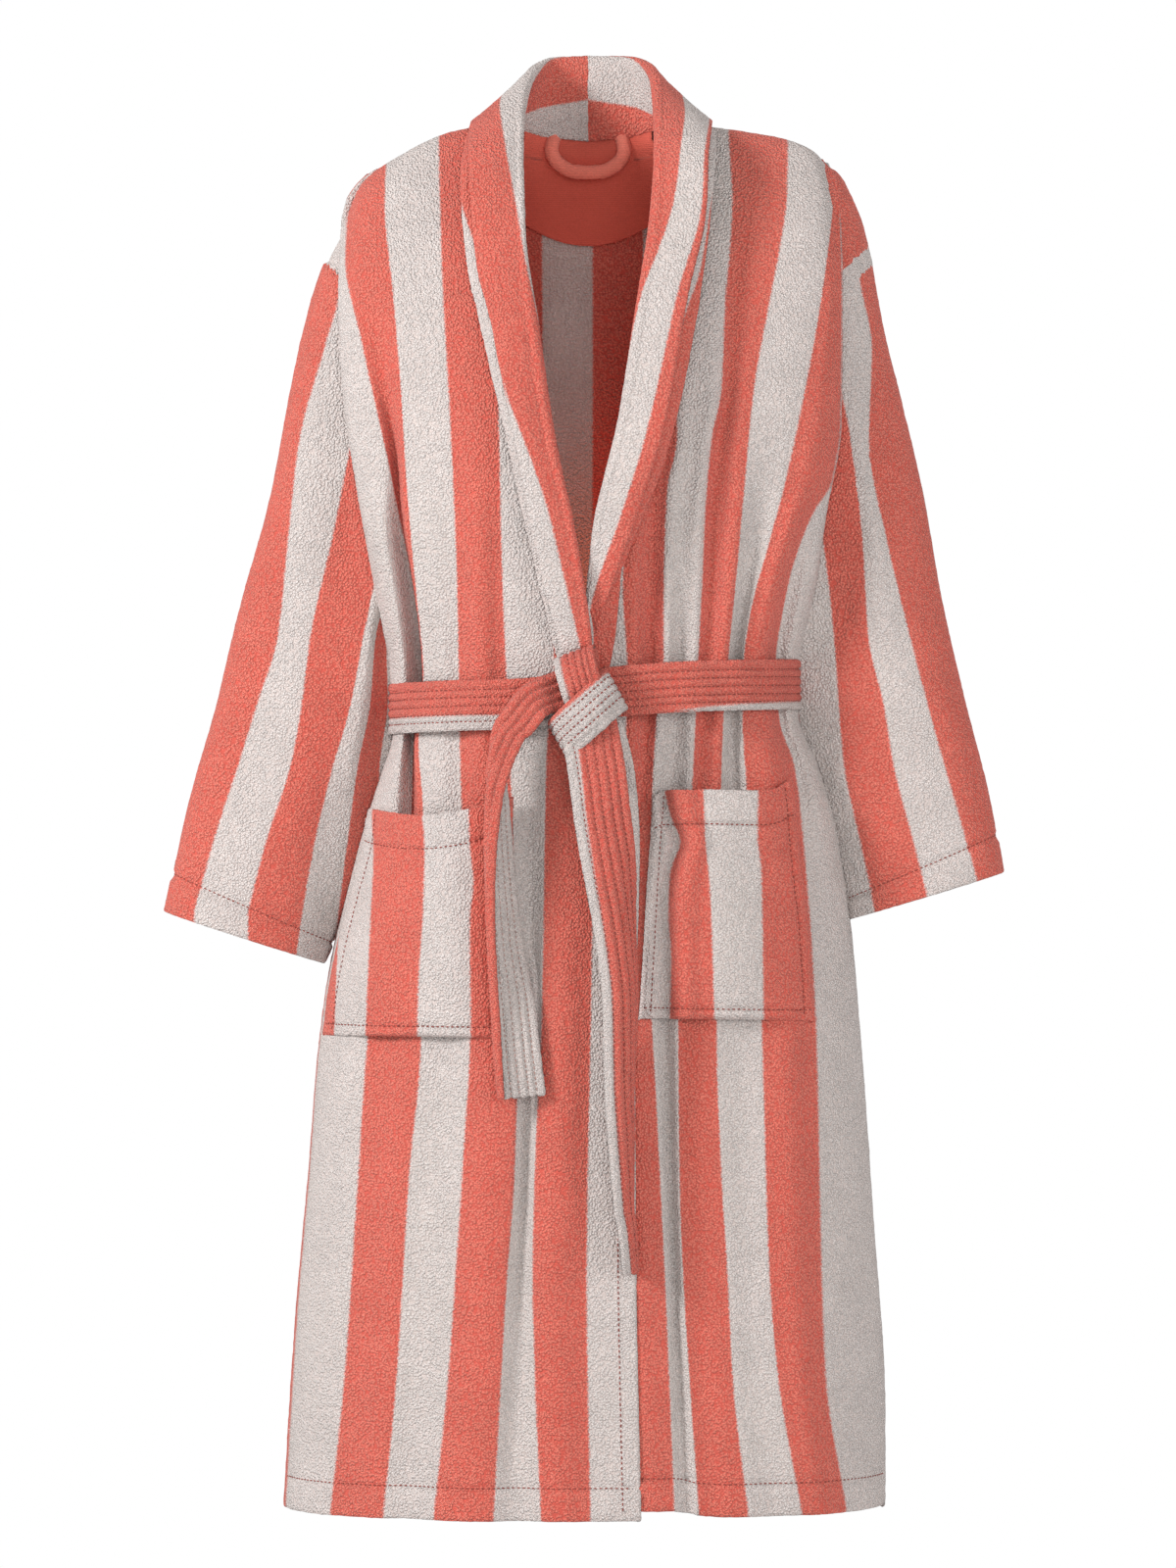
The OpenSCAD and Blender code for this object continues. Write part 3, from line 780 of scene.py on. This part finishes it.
def collar(name, which):
    """Both layers of a collar half: up the stand, over the roll and down the fall."""
    mirror = np.array([which["side"], 1, 1])
    t, (a, b, c) = collar_lines(which, 200)
    up, way = unit(b - a), unit(c - b)
    away = unit(way - up * np.sum(way * up, axis=-1, keepdims=True))
    r, puff = ROLL_R(t), PUFF(t)
    base = b - up * r
    stand = [lerp(a, base, f) - away * 2 * math.sin(math.pi * f) for f in np.linspace(0, 1, 22)]
    roll = [
        base + away * r * (1 - math.cos(q)) + up * r * math.sin(q)
        for q in np.linspace(0, math.pi, 15)[1:]
    ]
    end = roll[-1]
    far = np.linalg.norm(c - end, axis=-1, keepdims=True)

    def fall(f, off):
        return lerp(end, c, f) + away * (puff * np.sin(math.pi * np.clip(f, 0, 1)) ** 0.8 - off)

    shown = 1 - UNDER_SHOWS(t) / far
    upper = [fall(f * shown, 0.0) for f in np.linspace(0, 1, 26)[1:]]
    grid = np.stack(stand + roll + upper, axis=1)
    run = np.cumsum(np.linalg.norm(np.diff(grid, axis=1, prepend=grid[:, :1]), axis=-1), axis=1)
    over = run - run[:, len(stand) + 6][:, None]
    shift, border = which["upper"]
    start = curve(border)(t)
    end_of = over[:, -1:] - curve(which["rim"])(t)
    s = shift + np.where(
        over < start, (over - start) / STRIPE,
        np.where(over > end_of, 1 + (over - end_of) / STRIPE, (over - start) / (end_of - start)),
    )
    over_layer = cloth_panel(name, grid * mirror, s, 4.0, which["side"] < 0)

    low = np.linspace(0.4, 1, 26)
    grid = np.stack([fall(f, LAYER) for f in low], axis=1)
    shift, border = which["under"]
    s = shift + (curve(border)(t) - far * (1 - low[None, :])) / STRIPE
    return over_layer, cloth_panel(name + "_under", grid * mirror, s, 3.6, which["side"] < 0)


# ---- pockets ----
def pocket(name, left, right, top, low, lines, valley=None):
    """A patch pocket. Its left and right edges are {z: x}, its top and low edges {x: z}.

    valley is a crease down the cloth, with a soft fold beside it.
    """
    left, right, top, low = (curve(points) for points in (left, right, top, low))
    u, v = steps(70), steps(96).T
    z = lerp(-550.0, -744.0, v)
    x = lerp(left(z), right(z), u)
    z = lerp(top(x), low(x), v)
    x = lerp(left(z), right(z), u)
    tall = low(x) - top(x)
    to_edge = np.minimum(np.minimum(u, 1 - u) * (right(z) - left(z)), (v - 1) * tall)
    down = -v * tall
    puff = 11.0 * np.sin(math.pi * u) ** 0.6 * np.sqrt(1 - v ** 3)
    relief = 0.9 * bump((to_edge - 3.5) / 4) - 1.7 * bump((to_edge - 8.5) / 2.8)
    relief += 1.0 * ease((27 - down) / 3) - 1.5 * bump((down - 27) / 3)
    relief += 2.5 * np.sin(x / 17 + z / 60) * np.sin(math.pi * u) * np.sin(math.pi * v)
    if valley:
        across = x - curve(valley)(z)
        relief += -8.0 * bump(across / 11) + 5.0 * bump((across - 17) / 16)
    y = front_y(x, z, name.startswith("right")) - 5.2 - puff - relief
    s = stripe_at(x, z, borders(lines))
    return cloth_panel(name, xyz(x, y, z), s, 3.6)


def right_pocket():
    return pocket(
        "right_pocket_cloth",
        {-550: -187, -581: -189, -608: -195, -640: -203, -676: -212, -713: -219, -752: -224},
        {-550: -62, -752: -70},
        {-192: -556, -181: -562, -139: -567, -98: -562, -80: -556, -62: -552},
        {-225: -750, -70: -750},
        {
            0: {-556: -236, -750: -240},
            2: {-567: -182, -600: -180, -655: -182, -750: -186},
            3: {-567: -138, -592: -136, -645: -137, -706: -141, -750: -142},
            4: {-567: -99, -592: -98, -622: -95, -653: -98, -750: -97},
            5: {-556: -55, -750: -52},
        },
    )


def left_pocket():
    return pocket(
        "left_pocket_cloth",
        {-540: 56, -600: 51, -735: 43},
        {-540: 173, -611: 179, -655: 184, -735: 189},
        {52: -553, 64: -547, 96: -546, 143: -547, 158: -545, 170: -539, 176: -541},
        {44: -734, 190: -737},
        {
            5: {-540: 30, -735: 26},
            6: {-547: 64, -567: 69, -589: 77, -605: 71, -618: 68, -648: 67, -684: 69, -735: 68},
            7: {-547: 96, -583: 97, -626: 101, -735: 105},
            8: {-547: 142, -583: 141, -611: 144, -735: 146},
            9: {-547: 186, -735: 192},
        },
        valley={-540: 60, -567: 66, -589: 74, -605: 68, -648: 63, -735: 64},
    )


# ---- belt ----
BELT_W = 43.0
BELT_T = 5.0
BAND_H = 37.5             # the belt is pulled a little narrower round the waist
BELT_OFF = 9.6            # how far the belt's surface lies off the panels
WAIST = {-1: 170.5, 1: 183.0}            # half widths of the belt's ring, by side
ROWS = (6.5, 14.5, 22.5, 30.5, 37.5)     # the belt's rows of stitches, from its top edge
BAND_TILT = curve({-175: -477, -110: -474.5, -60: -473.5, -20: -469, 22: -463.5, 82: -459, 183: -456})
BAND_BORDER = curve({-175: 27, -60: 27.5, -10: 33, 10: 42, 50: 40, 120: 35, 183: 33})


def quilt(w):
    """The belt's surface across its width, with a groove at each row of stitches."""
    return -1.6 * sum(bump((w - row) / 2.6) for row in ROWS)


def belt_band():
    """The belt round the waist, as a ring of cloth."""
    w, a = BAND_H * steps(38).T, angles(420)
    c, in_front = np.cos(a), np.sin(a) < 0
    x = np.where(c < 0, WAIST[-1], WAIST[1]) * c
    deep = np.where(in_front, FRONT_D(BELT_Z) + LAP, BACK_D(BELT_Z)) + BELT_OFF
    ripple = 0.8 * np.sin(a * 9) + 0.6 * np.sin(a * 23 + 1)
    y = SIDE_Y + np.where(in_front, -1, 1) * (deep * np.sqrt(1 - np.abs(c) ** 3.2))
    grid = xyz(x, y, BAND_TILT(x) + BAND_H / 2 - w)
    n = normals(grid, closed=True)
    n = n * np.sign(np.sum(n * (grid - np.array([0, SIDE_Y, 0])), axis=-1, keepdims=True))
    s = 1 + (w - np.where(in_front, BAND_BORDER(x), 32.0)) / STRIPE
    outer = grid + n * (quilt(w * BELT_W / BAND_H) + ripple + pile(s.shape))[..., None]
    inner = grid + n * (ripple - BELT_T)[..., None]
    return sheet("belt_band_cloth", outer, inner, s, BELT_TERRY, closed=True)


def strap(name, path, turn, width, s, lining, face=1, length=150, way=None, groove=1.0):
    """A strip of the belt. path is its left edge from top to bottom, in space.

    turn(w, z) is the way the cloth heads across, in degrees: 0 to the right, negative away
    from the viewer. s(w, z) is S on the outer side, and lining is S on the inner side. face is
    1 where the outer side is towards the viewer when turn is 0. way is a set way across, for a
    strip that bends back over its end.
    """
    path = spline(path, length)
    w = np.linspace(0, width, 36)
    z = path[:, 2][:, None]
    heading = np.radians(turn(w[None, :], z))
    step = width / (len(w) - 1)
    mid = (heading[:, 1:] + heading[:, :-1]) / 2
    nought = np.zeros((length, 1))
    lateral = np.concatenate([nought, np.cumsum(np.cos(mid), axis=1) * step], axis=1)
    deep = np.concatenate([nought, np.cumsum(-np.sin(mid), axis=1) * step], axis=1)
    lateral -= lateral.min(axis=1, keepdims=True)
    tangent = unit(np.gradient(path, axis=0) * np.array([1, 0, 1]))
    across = np.stack([-tangent[:, 2], 0 * tangent[:, 0], tangent[:, 0]], axis=1)
    if way is not None:
        across = np.broadcast_to(unit(np.array(way)), across.shape)
    grid = (
        path[:, None, :] + across[:, None, :] * lateral[..., None]
        + np.array([0, 1, 0]) * deep[..., None]
    )
    n = normals(grid) * face
    rough = (groove * quilt(w * BELT_W / width)[None, :] + pile((length, len(w))))[..., None]
    outer = grid + n * (BELT_T / 2 + rough)
    inner = grid - n * (BELT_T / 2 + rough)
    SKIN[name + "_lining"] = inner
    blank = 0 * lateral
    return sheet(name, outer, inner, s(w[None, :], z) + blank, BELT_TERRY, lining=lining + blank)


def border_at(level, line):
    """S across a strap whose stripe border, of S level, lies at line(z) from its left edge."""
    return lambda w, z: level + (w - line(z)) / STRIPE


def short_tail():
    flap = curve({-447: 27, -476: 27, -495: 24, -522: 17, -550: 11, -609: 6, -671: 4, -736: 4, -799: 3})
    behind = curve({-450: 80, -522: 64, -550: 56, -609: 50, -671: 42, -736: 16, -799: 4})

    def turn(w, z):
        return 180 + (180 - behind(z)) * ease((w - flap(z) + 4) / 8)

    return strap(
        "belt_tail_short_cloth",
        [(-24, -178, -447), (-30, -181, -450), (-41, -187, -454), (-52, -192, -460),
         (-66, -196, -476), (-77, -199, -495), (-81, -202, -522), (-83, -203, -550),
         (-84, -203, -609), (-82, -202, -671), (-78, -200, -736), (-75, -199, -777),
         (-73, -198, -799)],
        turn, BELT_W * 0.93, lambda w, z: 0.5, 1.5, face=-1, length=190,
    )


def long_tail():
    left = curve({-489: 8, -571: 4, -674: 5, -755: 0, -829: -5, -868: -12, -913: -25, -943: -30})
    right = curve({
        -489: -10, -571: -16, -674: -84, -755: -104, -829: -130, -868: -150, -913: -165, -943: -168,
    })

    def turn(w, z):
        return lerp(left(z), right(z), ease(w / 43) * 0.5 + w / 86)

    return strap(
        "belt_tail_long_cloth",
        [(-22, -190, -489), (-19, -196, -503), (-14, -200, -532), (-9, -202, -571),
         (-2, -204, -612), (9, -207, -674), (14, -210, -720), (15.5, -212, -790),
         (18, -212, -829), (21, -212, -868), (24, -211, -905), (25, -209, -943)],
        turn, BELT_W,
        border_at(2, curve({-489: 10, -571: 8, -674: 6, -943: 6})), 1.5, length=260,
    )


def bent(amount):
    """The turn of a strap that arches towards the viewer, amount degrees at its left edge."""
    return lambda w, z: amount - 2 * amount * w / 33 + 0 * z


def knot():
    """The knot's two wraps: a coral one over the belt, and a white one across it."""
    over = strap(
        "belt_knot_over",
        [(-21, -170, -450), (-23, -177, -441), (-25, -184, -437), (-26, -191, -439),
         (-25, -197, -446), (-22, -199, -458), (-17, -194, -474), (-12, -186, -488)],
        bent(24), 31, border_at(2, lambda z: 4), 0.5, length=70, way=(0.94, 0, 0.33),
    )
    across = strap(
        "belt_knot_across",
        [(13, -172, -451), (15, -182, -448), (14, -191, -448), (8, -198, -453), (-2, -203, -462),
         (-12, -204, -471), (-22, -200, -480), (-29, -191, -487), (-31, -181, -490),
         (-29, -172, -490)],
        bent(22), 34, border_at(1, lambda z: 2), 0.5, length=90, way=(0.48, 0, -0.88), groove=0.5,
    )
    return over, across


def belt_loop(name, side):
    """A narrow strap sewn at the side seam, with the belt running through it."""
    upper = [(-5, 30), (-2, 28), (3, 24), (5, 14)]
    lower = [(out, -up) for out, up in reversed(upper)]
    path = spline([(WAIST[side] + out, up) for out, up in upper + lower], 80)[:, None, :]
    across = np.linspace(-6, 6, 9)[None, :]
    grid = xyz(side * path[..., 0], SIDE_Y + across, BELT_Z + 9 * side + path[..., 1])
    n = normals(grid)
    n = n * np.sign(n[40, 4, 0] * side)
    s = np.full(grid.shape[:2], 1.5)
    return sheet(name, grid + n * pile(s.shape)[..., None], grid - n * 2.4, s, BELT_TERRY)


def hanger_loop(name, radius=6.0, spokes=28):
    """The hanging loop, a round cord that is hollow in the middle."""
    x, y, low = 31.0, -19.3, -17.5
    half = [
        (-x + 3, y + 7, 13), (-x + 1, y + 3, 8), (-x, y, 1), (-x + 3, y, -7), (-x + 11, y, -14),
        (-11, y, low),
    ]
    other_half = [(-px, py, pz) for px, py, pz in reversed(half)]
    path = spline(half + [(0, y, low - 0.5)] + other_half, 110)
    a = angles(spokes)[..., None]
    tangent = unit(np.gradient(path, axis=0))
    side = unit(np.cross(tangent, np.array([0, 1, 0])))
    other = np.cross(tangent, side)
    spoke = side[:, None, :] * np.cos(a) + other[:, None, :] * np.sin(a)
    around = path[:, None, :] + spoke * (radius + pile((len(path), spokes), 0.3))[..., None]
    inside = path[:, None, :] + spoke * radius * 0.4
    s = np.full(around.shape[:2], 0.5)
    return sheet(name, around, inside, s, LOOP_CORD, closed=True)


# ---- stitches ----
def faced(name, way=(0, -1, 0)):
    """A piece's outer points and their normals, turned towards way, or outward if it is None."""
    grid = SKIN[name]
    n = normals(grid, closed=way is None)
    if way is None:
        toward = grid - grid.mean(axis=1, keepdims=True)
        return grid, n * np.sign(np.sum(n * toward, axis=-1, keepdims=True))
    return grid, n * np.sign(np.sum(n * np.array(way)))


def taken(line, k):
    """The value at place k, a fraction between two points of a line."""
    low = int(min(k, len(line) - 2))
    return lerp(line[low], line[low + 1], k - low)


def crossed(lines):
    """The place on each line of points, with its normal, where its measure is as wanted."""
    places, out = [], []
    for points, n, measure, wanted in lines:
        k = np.interp(wanted, measure, np.arange(len(points)))
        places.append(taken(points, k))
        out.append(taken(n, k))
    return np.array(places), np.array(out)


def level_line(name, row, offset, way=(0, -1, 0)):
    """A line across a piece, at a height offset from its first or last row of points."""
    grid, n = faced(name, way)
    return crossed([
        (grid[:, j], n[:, j], -grid[:, j, 2], -(grid[row, j, 2] + offset))
        for j in range(1, grid.shape[1] - 1)
    ])


def upright_line(name, column, offset, top=0.0):
    """A line down a piece below top, offset across from its first or last column."""
    grid, n = faced(name)
    return crossed([
        (grid[i], n[i], grid[i, :, 0], grid[i, column, 0] + offset)
        for i in range(1, len(grid) - 1) if grid[i, column, 2] < top
    ])


def ring_line(name, row):
    """A line right round a sleeve or the belt, at one of its rows of points."""
    grid, n = faced(name, None)
    return np.concatenate([grid[row], grid[row, :1]]), np.concatenate([n[row], n[row, :1]])


def strap_lines(name):
    """The rows of stitches down a strap."""
    grid, n = faced(name)
    last = grid.shape[1] - 1
    places = [round(row / BELT_W * last) for row in ROWS]
    return [(grid[:, j], n[:, j]) for j in places]


def stitches(name, lines, material=CORAL_THREAD_AND_PAINTED_SHADE, thick=0.5):
    """Short dashes of thread along lines, each line being points and outward normals."""
    # the default thread is darkened: the thread, with painted shade of the pressed-in rows
    pitch, length, lift = 4.4, 3.1, 0.35
    verts, faces = [], []
    for points, outward in lines:
        run = np.concatenate([[0], np.cumsum(np.linalg.norm(np.diff(points, axis=0), axis=1))])
        at = np.arange(pitch / 2, run[-1] - length / 2, pitch)

        def pick(q, values):
            return np.stack([np.interp(q, run, values[:, k]) for k in range(3)], axis=1)

        n = unit(pick(at, outward))
        centre = pick(at, points) + n * lift
        way = unit(pick(at + 1, points) - pick(at - 1, points))
        side = unit(np.cross(way, n))
        start = sum(len(v) for v in verts) + np.arange(len(at))[:, None] * 10
        parts = [centre - way * length / 2 - n * thick]
        for step in (-0.25, 0.25):
            parts += [centre + way * length * step + r * thick for r in (side, n, -side, -n)]
        parts.append(centre + way * length / 2 - n * thick)
        verts.append(np.stack(parts, axis=1).reshape(-1, 3))
        for k in range(4):
            m = (k + 1) % 4
            faces += (start + np.array([0, 1 + m, 1 + k])).tolist()
            faces += (start + np.array([1 + k, 1 + m, 5 + m, 5 + k])).tolist()
            faces += (start + np.array([5 + k, 5 + m, 9])).tolist()
    return mesh_object(name, np.concatenate(verts), faces, material)


def body_stitches():
    """Hems, the right front's edge, the pockets, the belt's rows and the knot."""
    lines = [
        level_line("right_front_cloth", -1, 25), level_line("left_front_cloth", -1, 25),
        level_line("back_cloth", -1, 25, way=(0, 1, 0)),
        upright_line("right_front_cloth", -1, -13, top=-520),
    ]
    for name in ("right_pocket_cloth", "left_pocket_cloth"):
        lines += [
            level_line(name, 0, -27), level_line(name, -1, 8.5),
            upright_line(name, 0, 8.5), upright_line(name, -1, -8.5),
        ]
    last = len(SKIN["belt_band_cloth"]) - 1
    lines += [ring_line("belt_band_cloth", round(row / BELT_W * last)) for row in ROWS]
    lines += strap_lines("belt_knot_over")[1:-1]
    return stitches("body_stitches", lines)


# ---- floor and light ----
def stage_and_light():
    """A white floor and sky for the camera, greyer for the light, and the lamps."""
    paint = Nodes(bpy.data.materials.new("floor_paint"))
    grey = paint.fill(paint.tree.nodes["Principled BSDF"], {
        "Base Color": (0.7, 0.7, 0.7, 1), "Roughness": 1.0, "Specular IOR Level": 0.0,
    })
    white = paint.node("Emission", {"Strength": 1.0})
    paint.camera_sees(white, grey, "Material Output")
    reach, floor_z = 60000, HEM_Z - 160
    corners = [(x * reach, y * reach, floor_z) for x, y in ((-1, -1), (1, -1), (1, 1), (-1, 1))]
    mesh_object("floor", corners, [(0, 1, 2, 3)], paint.owner)

    world = Nodes(bpy.data.worlds.new("studio"))
    bpy.context.scene.world = world.owner
    sky = world.fill(world.tree.nodes["Background"], {"Color": (1.0, 0.985, 0.97, 1), "Strength": 0.38})
    white = world.node("Background", {"Color": (1, 1, 1, 1), "Strength": 1.0})
    world.camera_sees(white, sky, "World Output")

    middle = (0, -0.06, -0.5)
    for name, place, target, size, power, colour in (
        ("key", (-3.0, -2.0, 1.1), middle, 1.0, 150.0, (1, 1, 1)),
        ("front_light", (0.3, -4.4, 0.1), middle, 2.0, 58.0, (1, 1, 1)),
        ("side_light", (3.0, -2.8, -0.2), middle, 2.0, 54.0, (1, 1, 1)),
        ("rim_light", (1.2, 2.6, 1.6), middle, 2.0, 55.0, (1, 1, 1)),
        # the warm light that coral cloth throws on the inside of the back
        ("bounce", (0, -0.1, -0.42), (0, 0.03, -0.2), 0.1, 0.19, (1, 0.22, 0.12)),
    ):
        lamp = bpy.data.lights.new(name, "AREA")
        lamp.size, lamp.energy, lamp.color = size, power, colour
        holder = bpy.data.objects.new(name, lamp)
        bpy.context.scene.collection.objects.link(holder)
        holder.location = place
        holder.rotation_mode = "QUATERNION"
        aim = Vector(target) - Vector(place)
        holder.rotation_quaternion = aim.to_track_quat("-Z", "Y")
    bpy.context.scene.view_settings.view_transform = "Standard"


stage_and_light()

# ---- pieces, in the order of their random draws ----
right_front_cloth = front(
    "right_front_cloth", (SIDE_RIGHT, RIGHT_SIDE_S), RIGHT_FRONT_BORDERS, (OVER_EDGE, OVER_EDGE_S),
    RIGHT_FRONT_FOLDS, (15, 13, 13, 13, 13, 13, 12), right_hem,
)
left_front_cloth = front(
    "left_front_cloth", (UNDER_EDGE, UNDER_EDGE_S), LEFT_FRONT_BORDERS, (SIDE_LEFT, LEFT_SIDE_S),
    LEFT_FRONT_FOLDS, (14, 13, 13, 13, 13, 13, 14), left_hem,
)
back_cloth = back()
facing_cloth = facing()
right_sleeve_cloth = sleeve("right_sleeve_cloth", -1, RIGHT_SLEEVE_LINES, RIGHT_SLEEVE_BORDERS)
left_sleeve_cloth = sleeve("left_sleeve_cloth", 1, LEFT_SLEEVE_LINES, LEFT_SLEEVE_BORDERS)
right_collar_cloth, right_under_cloth = collar("right_collar_cloth", COLLARS["right"])
left_collar_cloth, left_under_cloth = collar("left_collar_cloth", COLLARS["left"])
right_pocket_cloth, left_pocket_cloth = right_pocket(), left_pocket()
band_cloth = belt_band()
short_cloth, long_cloth = short_tail(), long_tail()
over_cloth, across_cloth = knot()
right_loop = belt_loop("right_belt_loop_cloth", -1)
left_loop = belt_loop("left_belt_loop_cloth", 1)
cord_cloth = hanger_loop("hanger_loop_cord")

# ---- pieces that ride on the robe, and the CAD nodes they replace ----
for piece, node, slot in (
    (right_front_cloth, "right_front_panel", "terry"),
    (left_front_cloth, "left_front_panel", "terry"),
    (back_cloth, "back_panel", "terry"), (facing_cloth, "back_neck_facing", "facing_knit"),
    (right_collar_cloth, "right_collar", "terry"), (left_collar_cloth, "left_collar", "terry"),
    (right_under_cloth, "right_under_collar", "terry"),
    (left_under_cloth, "left_under_collar", "terry"),
    (right_pocket_cloth, "right_pocket", "terry"), (left_pocket_cloth, "left_pocket", "terry"),
    (band_cloth, "belt_band", "belt_terry"), (over_cloth, "belt_knot", "belt_terry"),
    (right_loop, "right_belt_loop", "belt_terry"), (left_loop, "left_belt_loop", "belt_terry"),
):
    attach(piece, "robe_body")
    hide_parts(node)

CUFF_ROW = 180
knot_thread = strap_lines("belt_knot_across")[:4]
for piece, body in (
    (across_cloth, "robe_body"),
    (body_stitches(), "robe_body"), (stitches("knot_stitches", knot_thread, thick=0.6), "robe_body"),
    (stitches("right_cuff_stitches", [ring_line("right_sleeve_cloth", CUFF_ROW)]), "right_sleeve"),
    (stitches("left_cuff_stitches", [ring_line("left_sleeve_cloth", CUFF_ROW)]), "left_sleeve"),
):
    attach(piece, body)

# ---- pieces of the moving bodies: their places baked in, and the CAD nodes they replace hidden ----
short_rows = strap_lines("belt_tail_short_cloth") + strap_lines("belt_tail_short_cloth_lining")
short_thread = stitches("short_tail_stitches", short_rows, PALE_THREAD)
long_thread = stitches("long_tail_stitches", strap_lines("belt_tail_long_cloth"))
SHORT_BEND = ((-60, -195, -496), (-60, -195, -550))
LONG_BEND = ((0, -195, -500), (0, -195, -555))
for piece, body, bend, slot in (
    (right_sleeve_cloth, "right_sleeve", ((-183, -62, -204), (-208, -62, -210)), "terry"),
    (left_sleeve_cloth, "left_sleeve", ((183, -62, -204), (208, -62, -210)), "terry"),
    (short_cloth, "belt_tail_short", SHORT_BEND, "belt_terry"),
    (long_cloth, "belt_tail_long", LONG_BEND, "belt_terry"),
    (short_thread, "belt_tail_short", SHORT_BEND, "belt_terry"),
    (long_thread, "belt_tail_long", LONG_BEND, "belt_terry"),
    (cord_cloth, "hanger_loop", ((0, -19.3, 8), (0, -19.3, -9)), "loop_cord"),
):
    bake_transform(piece)
    if "stitches" not in piece.name:
        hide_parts(body)
